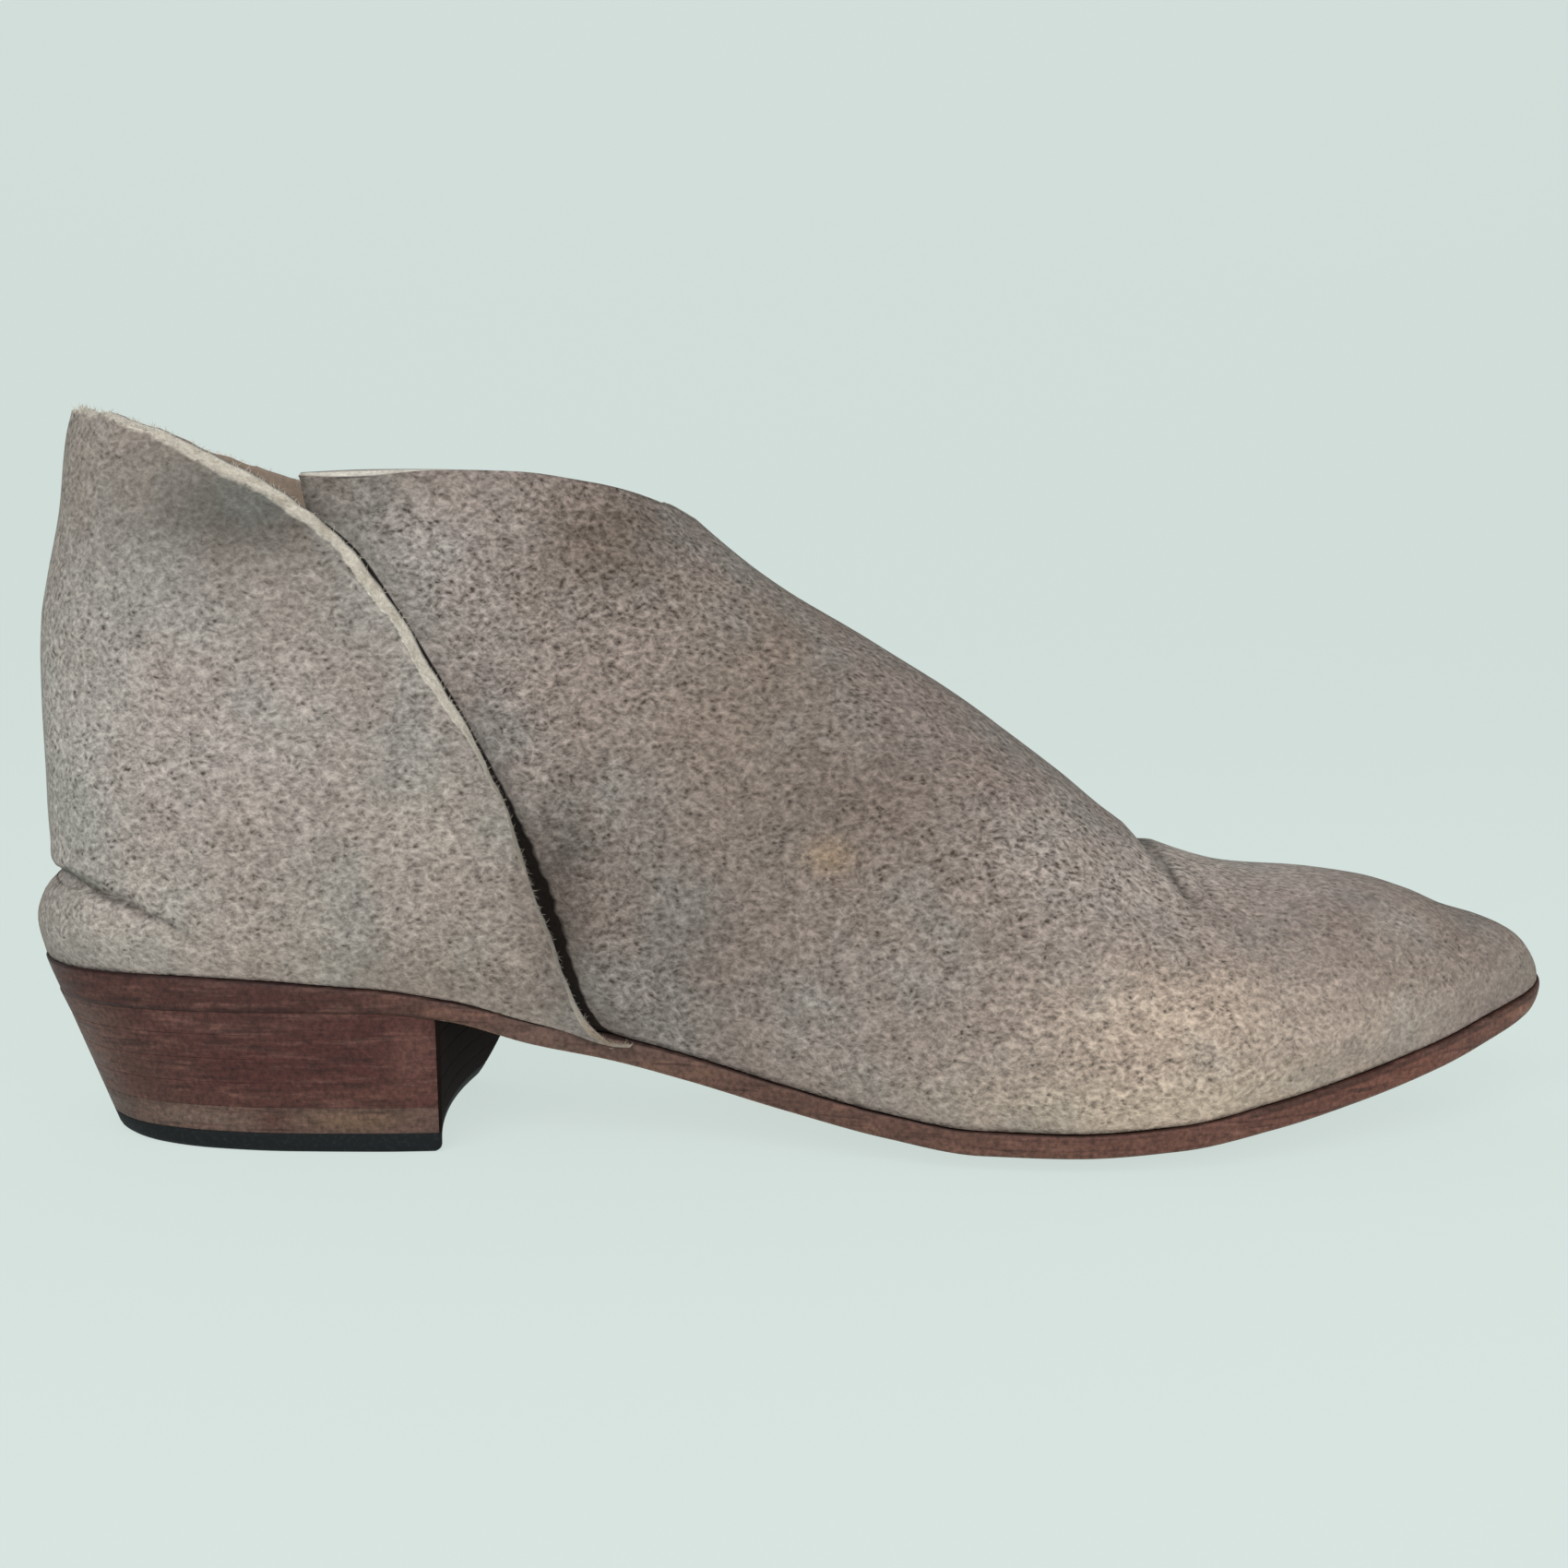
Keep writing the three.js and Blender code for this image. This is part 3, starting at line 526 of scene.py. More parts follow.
hue = node(tree, "Mix", {0: warm, 6: hue, 7: rgba("#8c7a70")}, **COLOURS)
shade = node(tree, "MapRange", [nap, 0.3, 0.7, -0.57, 0.57], clamp=False)
depth = node(tree, "MapRange", [coarse, 0.0, 1.0, 0.55, 1.20], clamp=False)
shade = node(tree, "Math", [shade, depth, 0.94], operation="MULTIPLY_ADD")
patchy = node(tree, "MapRange", [mottle, 0.3, 0.7, 0.90, 1.10])
shade = node(tree, "Math", [shade, patchy], operation="MULTIPLY")
shade = node(tree, "Math", [pits, -0.52, shade], operation="MULTIPLY_ADD")
rub = node(tree, "Math", [vein, depth], operation="MULTIPLY")
shade = node(tree, "Math", [rub, 0.36, shade], operation="MULTIPLY_ADD")
light = node(tree, "Math", [shade, 1.0], operation="MAXIMUM")
skin = node(tree, "VectorMath", {0: hue, "Scale": light}, operation="SCALE")
darkening = node(tree, "MapRange", [shade, 1.0, 0.2, 0.0, 0.92])
skin = node(tree, "Mix", {0: darkening, 6: skin, 7: rgba("#3b322b")}, **COLOURS)
# Painted shadow: near black in the gap beside the heel panel's edge, where from_shadow is 0 or less.
gap_shadow = node(tree, "Attribute", attribute_name="from_shadow").outputs["Fac"]
gap_shadow = node(tree, "MapRange", [gap_shadow, 1.0, 0.0, 0.0, 0.96])
skin = node(tree, "Mix", {0: gap_shadow, 6: skin, 7: rgba("#14100d")}, **COLOURS)
rough = node(tree, "MapRange", [nap, 0.2, 0.8, 0.74, 0.94])
surface = {"Base Color": skin, "Roughness": rough, "IOR": 1.45, "Specular IOR Level": 0.12}
close_finish(tree, surface, nap, 0.7, 0.5)

# %% [markdown]
# ### The flesh side and the raw edge
#
# The inside of the hide is a brown suede with a soft nap. Where the knife went through, the pale undyed
# middle of the leather shows, and its loose fibres make it fluffy and a little uneven.

# %% Flesh side: dull, darker than the nubuck and a little fuzzy against the light
flesh, tree, place, tone = new_finish("suede_flesh_side")
nap = node(tree, "TexNoise", {"Vector": place, "Scale": per_mm(0.9), "Detail": 4.0, "Roughness": 0.7})
blotch = node(tree, "TexNoise", {"Vector": place, "Scale": per_mm(9), "Detail": 3.0})
blend = node(tree, "Mix", {0: blotch, 6: rgba("#7b6c5d"), 7: rgba("#9a8b7a")}, **COLOURS)
shade = node(tree, "MapRange", [nap, 0.3, 0.7, 0.82, 1.18])
skin = node(tree, "VectorMath", {0: blend, "Scale": shade}, operation="SCALE")
close_finish(tree, {"Base Color": skin, "Roughness": 0.92, "Sheen Weight": 0.25}, nap, 0.5, 0.4)

# %% Raw edge: the palest line of the shoe, broken up by fibres and a little soil
raw_edge, tree, place, tone = new_finish("raw_cut_edge")
fuzz = node(tree, "TexNoise", {"Vector": place, "Scale": per_mm(0.6), "Detail": 5.0, "Roughness": 0.7})
soil = node(tree, "TexNoise", {"Vector": place, "Scale": per_mm(3.5), "Detail": 2.0})
soil = node(tree, "MapRange", [soil, 0.5, 0.75, 0.0, 0.45])
blend = node(tree, "Mix", {0: soil, 6: tone, 7: rgba("#8d8069")}, **COLOURS)
shade = node(tree, "MapRange", [fuzz, 0.3, 0.7, 0.62, 1.12])
skin = node(tree, "VectorMath", {0: blend, "Scale": shade}, operation="SCALE")
close_finish(tree, {"Base Color": skin, "Roughness": 0.95, "Sheen Weight": 0.2}, fuzz, 0.8, 0.4)

# %% [markdown]
# ### Sole leather and stacked heel
#
# The sole and the lifts are vegetable-tanned leather, dyed red-brown and burnished, so they have a low sheen.
# Their cut edges show thin layers, drawn here as noise that is stretched flat, and the dye is rubbed off in
# paler streaks where the shoe meets kerbs and steps.

# %% Burnished leather edge, for the sole and the lifts
dyed, tree, place, tone = new_finish("burnished_leather_edge")
flat = node(tree, "Mapping", {"Vector": place, "Scale": (1 / 14, 1 / 14, 1)})
layers = node(tree, "TexNoise", {"Vector": flat, "Scale": per_mm(0.8), "Detail": 3.0, "Roughness": 0.6})
rub = node(tree, "Mapping", {"Vector": place, "Scale": (1 / 7, 1 / 7, 1)})
rub = node(tree, "TexNoise", {"Vector": rub, "Scale": per_mm(1.5), "Detail": 4.0, "Roughness": 0.62})
grit = node(tree, "TexNoise", {"Vector": place, "Scale": per_mm(0.9), "Detail": 4.0, "Roughness": 0.65})
worn = node(tree, "MapRange", [rub, 0.50, 0.74, 0.0, 0.42])
dark = node(tree, "MapRange", [layers, 0.46, 0.30, 0.0, 0.62])
hue = node(tree, "Mix", {0: worn, 6: tone, 7: rgba("#7f5e53")}, **COLOURS)
hue = node(tree, "Mix", {0: dark, 6: hue, 7: rgba("#2c1b18")}, **COLOURS)
shade = node(tree, "MapRange", [grit, 0.3, 0.7, 0.50, 1.42])
skin = node(tree, "VectorMath", {0: hue, "Scale": shade}, operation="SCALE")
relief = node(tree, "Math", [grit, 0.3, layers], operation="MULTIPLY_ADD")
rough = node(tree, "MapRange", [rub, 0.4, 0.7, 0.50, 0.72])
close_finish(tree, {"Base Color": skin, "Roughness": rough, "Specular IOR Level": 0.22}, relief, 0.35, 0.3)

# %% Breast of the heel: painted shadow, nearly black and matt, so the heel seems to end at its side
breast_shadow, tree, place, tone = new_finish("painted_breast_shadow")
shadow_speckle = node(tree, "TexNoise", {"Vector": place, "Scale": per_mm(1.5), "Detail": 3.0})
hue = node(tree, "Mix", {0: shadow_speckle, 6: rgba("#120d0b"), 7: rgba("#221916")}, **COLOURS)
close_finish(tree, {"Base Color": hue, "Roughness": 0.9, "Specular IOR Level": 0.03})

# %% Worn underside of the sole: brown stains from walking and pale scratches along it
tread, tree, place, tone = new_finish("worn_sole_leather")
cloud = node(tree, "TexNoise", {"Vector": place, "Scale": per_mm(12), "Detail": 5.0, "Roughness": 0.6})
scratch = node(tree, "Mapping", {"Vector": place, "Rotation": (0, 0, 0.2), "Scale": (1 / 9, 1, 1)})
scratch = node(tree, "TexNoise", {"Vector": scratch, "Scale": per_mm(0.7), "Detail": 3.0})
line = node(tree, "MapRange", [scratch, 0.62, 0.70, 0.0, 0.5])
stain = node(tree, "MapRange", [cloud, 0.45, 0.70, 0.0, 0.6])
hue = node(tree, "Mix", {0: stain, 6: tone, 7: rgba("#4d3c33")}, **COLOURS)
hue = node(tree, "Mix", {0: line, 6: hue, 7: rgba("#a78d78")}, **COLOURS)
close_finish(tree, {"Base Color": hue, "Roughness": 0.68}, scratch, 0.3, 0.3)

# %% Black rubber: matt, with grey dust in its fine grain
rubber, tree, place, tone = new_finish("moulded_black_rubber")
dust = node(tree, "TexNoise", {"Vector": place, "Scale": per_mm(0.8), "Detail": 4.0, "Roughness": 0.7})
dusty = node(tree, "MapRange", [dust, 0.5, 0.75, 0.0, 0.35])
hue = node(tree, "Mix", {0: dusty, 6: tone, 7: rgba("#383a3a")}, **COLOURS)
close_finish(tree, {"Base Color": hue, "Roughness": 0.75, "Specular IOR Level": 0.15}, dust, 0.3, 0.2)

# %% Sock leather: close-grained and flat, so it takes the light more evenly than the suede around it
sock, tree, place, tone = new_finish("smooth_sock_leather")
grain = node(tree, "TexVoronoi", {"Vector": place, "Scale": per_mm(0.9)}, feature="DISTANCE_TO_EDGE")
patch = node(tree, "TexNoise", {"Vector": place, "Scale": per_mm(11), "Detail": 4.0})
foot_mark = node(tree, "MapRange", [patch, 0.45, 0.7, 0.0, 0.5])
hue = node(tree, "Mix", {0: foot_mark, 6: tone, 7: rgba("#4f4238")}, **COLOURS)
close_finish(tree, {"Base Color": hue, "Roughness": 0.6}, grain, 0.25, 0.2)
print("finishes:", ", ".join(m.name for m in (nubuck, flesh, raw_edge, dyed, breast_shadow, tread, rubber, sock)))

# %% [markdown]
# ## The vamp
#
# The vamp is one piece of leather from the toe over the instep to the collar. Its squares run along the shoe
# and up each side; in front of the throat the two sides meet on the crest, and behind it they end at the
# collar. Its rear edges lie hidden inside the heel panel.

# %% Lay out the vamp
COLLAR_BACK, COLLAR_FRONT, PANEL_CORNER = 0.189, 0.441, 0.392
EDGE_LOW, EDGE_HIGH = 0.15, 0.915
collar_height = smooth_curve(
    [COLLAR_BACK, 0.232, 0.277, 0.323, 0.368, 0.392, 0.413, 0.427, COLLAR_FRONT],
    [EDGE_HIGH, 0.919, 0.920, 0.918, 0.906, 0.893, 0.874, 0.856, 0.838])
edge_rows = np.array([
    (0.000, 1.001), (0.029, 0.999), (0.087, 0.971), (0.147, 0.923), (0.191, 0.870), (0.224, 0.814),
    (0.246, 0.748), (0.268, 0.670), (0.289, 0.592), (0.311, 0.494), (0.333, 0.365), (0.355, 0.235),
    (0.369, 0.180), (PANEL_CORNER, EDGE_LOW)])
edge_height = smooth_curve(*edge_rows.T)
edge_share = smooth_curve(edge_rows[1:][::-1, 1], edge_rows[1:][::-1, 0])
rear_share = smooth_curve([EDGE_LOW, 0.40, 0.65, 0.84, EDGE_HIGH], [0.274, 0.258, 0.226, 0.196, COLLAR_BACK])
tries = np.linspace(0.40, COLLAR_FRONT, 400)
THROAT = tries[np.argmax(collar_height(tries) >= upper["crest"](tries))]
print("the throat lies at", round(THROAT, 4), "of the length")

behind, ahead, up_rows = 84, 168, 90
top_share = THROAT - (THROAT - COLLAR_BACK) * (1 - np.linspace(0, 1, behind + 1)) ** 2
front = to_share(np.linspace(to_angle(THROAT), np.pi, ahead + 1))[1:]
top_share = np.concatenate([top_share, front])
climb = np.linspace(0, 1, up_rows + 1)


def reach_up(share, side, top, least=0.0):
    """How far up the arch, as a share of its length, the leather reaches when its edge is at a height in mm."""
    rise, lengths = arch_lengths(share, side)
    feather = feather_height(share, side)
    limit = np.clip((top - feather) / (upper["crest"](share) * COLLAR - feather), least, 1)
    return np.array([np.interp(limit[k], rise[k], lengths[k]) for k in range(len(share))])


def vamp_side(side):
    reach = reach_up(top_share, side, collar_height(top_share) * COLLAR)
    reach[behind:] = 1
    rear = rear_share(EDGE_LOW + (EDGE_HIGH - EDGE_LOW) * climb)
    u = (top_share - COLLAR_BACK) / (1 - COLLAR_BACK)
    share = rear[None, :] + (1 - rear[None, :]) * u[:, None]
    return form_points(share, side, reach[:, None] * climb[None, :])


outer_side, inner_side = vamp_side(-1), vamp_side(1)
columns = len(top_share)
outer_index = np.arange(outer_side[..., 0].size).reshape(columns, -1)
inner_index = outer_index + outer_side[..., 0].size
inner_index[behind:, -1] = outer_index[behind:, -1]
inner_index[-1, :] = outer_index[-1, :]
vamp_points = np.concatenate([outer_side.reshape(-1, 3), inner_side.reshape(-1, 3)])
vamp_quads = np.concatenate([square_faces(outer_index), square_faces(inner_index, True)])
vamp_points, vamp_quads, used = compact(vamp_points, vamp_quads)
vamp_normals = sheet_normals(vamp_points, vamp_quads)
print("vamp squares:", len(vamp_quads))

# %% [markdown]
# The creases are placed from the picture: a bend where the toes flex, a soft fold down from the
# throat, and a trough along the heel panel's edge. Each is a line on the side of the shoe with a depth.

# %% Crease the vamp and give it a wall
FLEX = [(60.6, 53.2), (61.9, 51.3), (63.8, 48.9), (65.6, 46.0), (67.2, 43.6), (70.5, 39)]
FLEX_LOW = [(69, 47), (72, 43), (74, 39)]
# a line, depth, width, side, ridge, how deep it is at each end
VAMP_CREASES = [
    (FLEX, 1.3, 0.9, -1, 0.0, (0.7, 0.0)),
    (FLEX, 1.3, 0.9, 1, 0.0, (0.7, 0.0)),
    (FLEX_LOW, 0.5, 1.6, -1, 0.4, (0.3, 0.0)),
    ([(-38, 113), (-37, 100), (-34, 86), (-30, 72)], 0.8, 6.0, -1, 0.4, (0.5, 0.0)),
    ([(-36, 113), (-33, 98), (-29, 82)], 0.7, 6.0, 1, 0.4, (0.5, 0.0)),
]
# x, z, reach along, reach up, amount, side (0 for both), turn
VAMP_SWELLINGS = [
    (57.5, 51, 6, 4, 0.6, 0, -50), (-50, 95, 9, 22, 0.7, -1), (-8, 82, 14, 9, -0.5, -1, 40),
    (30, 58, 18, 9, 0.5, -1, 30), (88, 40, 12, 6, 0.4), (105, 34, 6, 5, -0.35),
]


def formed(points, creases, swellings):
    return sum(crease(points, *row) for row in creases) + sum(swelling(points, *row) for row in swellings)


def waves(points, amount, first, second):
    """Long slight waves, because leather that was worn is never quite flat."""
    x, z = points[:, 0], points[:, 2]
    return amount * np.sin(x / first[0] + z / first[1]) * np.sin(z / second[0] - x / second[1])


def beside_edge(points):
    """How far ahead of the panel's edge each point is, and how wide the gap under the edge gapes there."""
    edge = LAST_BACK + edge_share(points[:, 2] / COLLAR) * LAST_LENGTH - ORIGIN_X
    return points[:, 0] - edge, np.exp(-(((points[:, 2] - 45) / 17) ** 2))


relief = formed(vamp_points, VAMP_CREASES, VAMP_SWELLINGS)
relief += waves(vamp_points, 0.12, (5.3, 7.1), (6.3, 11))
beside, gape = beside_edge(vamp_points)
relief -= (0.35 + 1.1 * gape) * np.exp(-(((beside - 0.2) / (1.2 + 1.4 * gape)) ** 2))
vamp_outer = vamp_points + relief[:, None] * vamp_normals
vamp_inner = vamp_points - VAMP_WALL * vamp_normals
# The knife slanted at the collar: the outside ends a little lower than the inside, most of all in its middle.
rows_up = np.tile(np.tile(climb, columns), 2)[used]
cut = np.clip((rows_up - 0.985) / 0.015, 0, 1) * (vamp_points[:, 0] < -24)
cut *= 0.25 + 0.75 * np.exp(-(((vamp_points[:, 0] + 74) / 9) ** 2))
vamp_outer[:, 2] -= 1.5 * cut
points, faces, kinds = walled(vamp_outer, vamp_inner, vamp_quads, 4)
# Only the collar shows a raw edge. Lower cuts are hidden and take the flesh side's finish.
LOWEST_COLLAR = 60
kinds = [
    INSIDE if kind == CUT and np.mean([points[v][2] for v in face]) < LOWEST_COLLAR else kind
    for face, kind in zip(faces, kinds)]
print("vamp relief: from", relief.min().round(2), "to", relief.max().round(2), "mm")

# %% [markdown]
# The broad colours of both panels are one list of soft spots. They give the leather's own colour together with
# painted light and shade: paler where the light falls, towards the toe, the heel and the sole, and painted
# shade at the instep, behind the panel's edge and below the collar, with a painted shadow band at the top of
# the heel panel.

# %% Colour the vamp and make it
# x, z, reach along, reach up, colour, strength
UPPER_COLOUR_LIGHT_AND_SHADE = [
    (-100, 74, 30, 24, "#9b928c", 0.8),
    (-126, 72, 12, 42, "#a9a7a1", 0.6),
    (-91, 110, 21, 10, "#4c4943", 0.9),
    (-82, 92, 14, 8, "#827e78", 0.5),
    (-112, 96, 12, 12, "#8a8a85", 0.5),
    (-66, 76, 8, 16, "#85827d", 0.6),
    (-52, 76, 5, 14, "#77736f", 0.6),
    (-60, 104, 12, 8, "#938d88", 0.6),
    (-64, 58, 9, 10, "#9f968c", 0.4),
    (-60, 31, 18, 7, "#776e64", 0.6),
    (-112, 40, 14, 9, "#aaa39b", 0.6),
    (-32, 105, 13, 11, "#594f46", 0.85),
    (-5, 86, 14, 12, "#70665c", 0.7),
    (-12, 72, 16, 20, "#766b61", 0.7),
    (9, 60, 20, 14, "#6a6058", 0.85),
    (22, 42, 16, 10, "#7d736a", 0.5),
    (-38, 44, 8, 24, "#635c56", 0.8),
    (-40, 47, 5, 12, "#4a4540", 0.8),
    (-20, 36, 16, 18, "#675f59", 0.75),
    (62, 26, 24, 10, "#ad9c8b", 0.8),
    (68, 47, 20, 6, "#a89e95", 0.8),
    (44, 54, 10, 7, "#9b9188", 0.6),
    (66, 11, 38, 8, "#b5a591", 0.75),
    (90, 48, 14, 5, "#b3a9a1", 0.8),
    (98, 24, 20, 7, "#a89a8c", 0.6),
    (110, 32, 14, 7, "#82766b", 0.65),
    (106, 39, 8, 5, "#9a9087", 0.6),
    (133, 30, 5, 9, "#857a6f", 0.7),
    (5, 52, 4, 3, "#947d60", 0.5),
    (-95, 36, 30, 9, "#968c82", 0.4),
]
tone = painted(points, "#827871", UPPER_COLOUR_LIGHT_AND_SHADE)
# Partly dirt, partly painted shade: darker in the creases where the toes flex.
tone *= (1 - 0.72 * crease_dirt_and_shade(points, [(FLEX, 1.0), (FLEX_LOW, 0.3)], 0.85))[:, None]
tone[2 * len(vamp_outer) :] = linear("#e2dccd")
# Painted shadow beside the heel panel's edge: from_shadow marks where the vamp is painted near black, in a band
# that widens where the edge gapes.
beside, gape = beside_edge(points)
uneven = 0.25 * np.sin(points[:, 2] * 1.9) + 0.2 * np.sin(points[:, 2] * 0.83 + 1)
from_shadow = np.clip((beside - 0.15 - (1.75 + uneven) * gape) / (0.3 + 0.5 * gape), -9, 9)
coarse = coarseness(points)
coarse = coarse + 0.30 * np.exp(-(((beside - 10) / 7) ** 2)) - 0.35 * np.exp(-(((beside - 1) / 4) ** 2))
upper_materials = [nubuck, flesh, raw_edge]
make_piece(
    "vamp_leather", points, faces, upper_materials, kinds, tone, ["vamp"], coarse, from_shadow)

# %% [markdown]
# ## The heel panel
#
# The heel panel wraps the back of the shoe and lies over the vamp. It was cut with a slanting knife: the
# inside of the leather reaches further than the outside, so a pale band faces outwards all along its edge.

# %% Lay out the heel panel
stand_off = smooth_curve([0.12, 0.22, 0.38, 0.55, 0.72, 0.85], [0.30, 0.80, 1.00, 0.80, 0.25, 0.00])
bevel = smooth_curve(
    [0.10, 0.20, 0.28, 0.50, 0.57, 0.64, 0.75, 0.86, 0.925, 0.95, 0.972, 1.00],
    [0.5, 0.2, 0.1, 0.15, 0.8, 1.4, 1.6, 1.7, 1.9, 1.6, 0.7, 0.3])

# Columns are spread evenly along the panel's edge, with its fall counted at a bit less than half.
fine_angle = np.linspace(0, float(to_angle(PANEL_CORNER)), 800)
fine_x = to_share(fine_angle) * LAST_LENGTH
fine_y = foot_width(to_share(fine_angle), -1)
fine_z = edge_height(to_share(fine_angle)) * COLLAR
strides = np.hypot(np.hypot(np.diff(fine_x), np.diff(fine_y)), 0.45 * np.diff(fine_z))
measure = np.concatenate([[0], np.cumsum(strides)])
half_columns, panel_rows = 170, 118
panel_climb = np.linspace(0, 1, panel_rows + 1)
half_angles = np.interp(np.linspace(0, measure[-1], half_columns + 1), measure, fine_angle)


def panel_side(side, slant):
    """One side of the panel. slant: how far its edge is drawn back, as a share of the bevel."""
    share = to_share(half_angles)
    line_x, line_z = LAST_LENGTH * share, edge_height(share) * COLLAR
    run, fall = np.gradient(line_x), np.gradient(line_z)
    length = np.hypot(run, fall)
    back = slant * bevel(line_z / COLLAR)
    wobble = ripple(np.cumsum(length), (3.1, 9, 1.2), (0.22, 0.35, 0.10), 11 if side < 0 else 12)
    if slant:
        wobble += ripple(np.cumsum(length), (1.7, 4.5), (0.28, 0.28), 21 if side < 0 else 22)
    moved_x = line_x + (fall / length) * (back + wobble)
    moved_z = line_z - (run / length) * (back + wobble)
    top = np.interp(line_x, moved_x, moved_z)
    if side > 0:
        top -= 2.9 * np.exp(-(((share - 0.09) / 0.07) ** 2))
    reach = reach_up(share, side, top, 0.0015)
    return form_points(share[:, None], side, reach[:, None] * panel_climb[None, :])


def panel_sheet(slant):
    whole = np.concatenate([panel_side(-1, slant)[::-1], panel_side(1, slant)[1:]])
    return whole.reshape(-1, 3)


panel_columns = 2 * half_columns + 1
panel_out, panel_in = panel_sheet(1.0), panel_sheet(0.0)
panel_index = np.arange(len(panel_out)).reshape(panel_columns, -1)
panel_quads = square_faces(panel_index, True)
panel_out_normals = sheet_normals(panel_out, panel_quads)
panel_in_normals = sheet_normals(panel_in, panel_quads)
if panel_out_normals[np.argmin(panel_out[:, 1]), 1] > 0:
    panel_quads = panel_quads[:, ::-1]
    panel_out_normals, panel_in_normals = -panel_out_normals, -panel_in_normals
print("panel squares:", len(panel_quads))


# %% Lift, crease and wall the heel panel
HEEL_FOLD = [
    (-133, 46.2), (-129, 47.3), (-125.3, 47.0), (-119.5, 44.7), (-113.7, 43.0), (-107.9, 40.8), (-102.6, 38.6),
    (-97.6, 36.0)]
HEEL_CRACK = [(-127, 48.2), (-121, 47.0), (-116, 45.3), (-111, 43.6)]
PANEL_CREASES = [
    (HEEL_FOLD, 1.4, 1.0, -1, 0.2, (0.8, 0.1)),
    ([(-133, 45.5), (-124, 45), (-115, 42), (-107, 38)], 0.9, 1.8, 1, 0.4, (0.6, 0.0)),
    (HEEL_CRACK, 0.4, 0.8, -1, 0.4, (0.2, 0.0)),
    ([(-128, 41), (-122, 38), (-117, 35)], 0.35, 1.8, -1, 0.4, (0.2, 0.0)),
]
PANEL_SWELLINGS = [
    (-118, 38, 14, 6, 0.7, -1, -25), (-96, 70, 26, 22, 0.5), (-72, 100, 10, 12, -0.4, -1),
    (-100, 112, 18, 7, -0.4)]


def panel_lift(points):
    height = points[:, 2] / COLLAR
    near = np.clip(1 + beside_edge(points)[0] / 26, 0, 1)
    return (1.6 + 0.5 * np.exp(-(((height - 0.40) / 0.16) ** 2))) * stand_off(height) * near**2


def corner_curl(points):
    """The front corner at the sole curls outwards and hangs over the sole's edge."""
    near = spot(points, -33, 21, 6, 5) * (points[:, 0] > -60)
    return np.stack([0.6 * near, np.sign(points[:, 1]) * 1.3 * near, -1.1 * near], axis=1)


relief = formed(panel_out, PANEL_CREASES, PANEL_SWELLINGS) + waves(panel_out, 0.10, (4.7, 9.1), (5.9, 13))
thick = CLEARANCE + panel_lift(panel_out) + PANEL_WALL + relief
panel_outer = panel_out + thick[:, None] * panel_out_normals + corner_curl(panel_out)
panel_inner = panel_in + (CLEARANCE + panel_lift(panel_in))[:, None] * panel_in_normals + corner_curl(panel_in)
# The wall must not make the collar any higher, so what it adds there is taken off again towards the top.
near_top = np.tile(np.clip((panel_climb - 0.75) / 0.25, 0, 1) ** 2, panel_columns)
for sheet, form in ((panel_outer, panel_out), (panel_inner, panel_in)):
    form_top = form[panel_index[:, -1], 2]
    excess = (sheet[panel_index[:, -1], 2] - form_top) * (form_top > 90)
    sheet[:, 2] -= np.repeat(excess, panel_rows + 1) * near_top
points, faces, kinds = walled(panel_outer, panel_inner, panel_quads, 5)

EDGE_PATCHES = [
    (-50, 55, 14, 15, "#958b7b", 0.8), (-40, 38, 9, 12, "#857a6c", 0.8), (-33, 21, 7, 5, "#a4937b", 1.0)]
edge_tone = painted(points, "#d8d1c1", EDGE_PATCHES)
# The same list of spots as on the vamp, with its painted light and shade.
tone = painted(points, "#8a8179", UPPER_COLOUR_LIGHT_AND_SHADE)
# Partly dirt, partly painted shade: darker in the fold and the crack above the heel.
darkening = crease_dirt_and_shade(points, [(HEEL_FOLD, 1.0), (HEEL_CRACK, 0.5)], 0.75)
tone *= (1 - 0.68 * (points[:, 1] < 12) * darkening)[:, None]
rim_start, top_line = 2 * len(panel_outer), panel_index[:, -1]
tone[rim_start:] = edge_tone[rim_start:]
tone[top_line] = tone[top_line] * 0.4 + edge_tone[top_line] * 0.6
make_piece(
    "heel_panel_leather", points, faces, upper_materials, kinds, tone, ["heel_panel"],
    0.85 * coarseness(points))

# %% [markdown]
# ## The sole
#
# One thickness of leather, cut a little wider than the upper and burnished on its edge. Each section is a
# ring of points: across the underside, up the edge, across the top and down the other edge.


# %% Sole
def sole_edge(angle, side, slant):
    share = to_share(angle)
    half = sole_half(share, side)
    drawn = slant * 0.6 * np.minimum(1, half / 10)
    back = slant * 2.4 * np.maximum(0, 1 - share / 0.2) ** 2
    tip = slant * 1.5 * np.maximum(0, 1 - (1 - share) / 0.08) ** 2
    x = SOLE_BACK + share * SOLE_LENGTH + back - tip
    return x, sole["swing"](share) * HALF_BALL + side * (half - drawn)


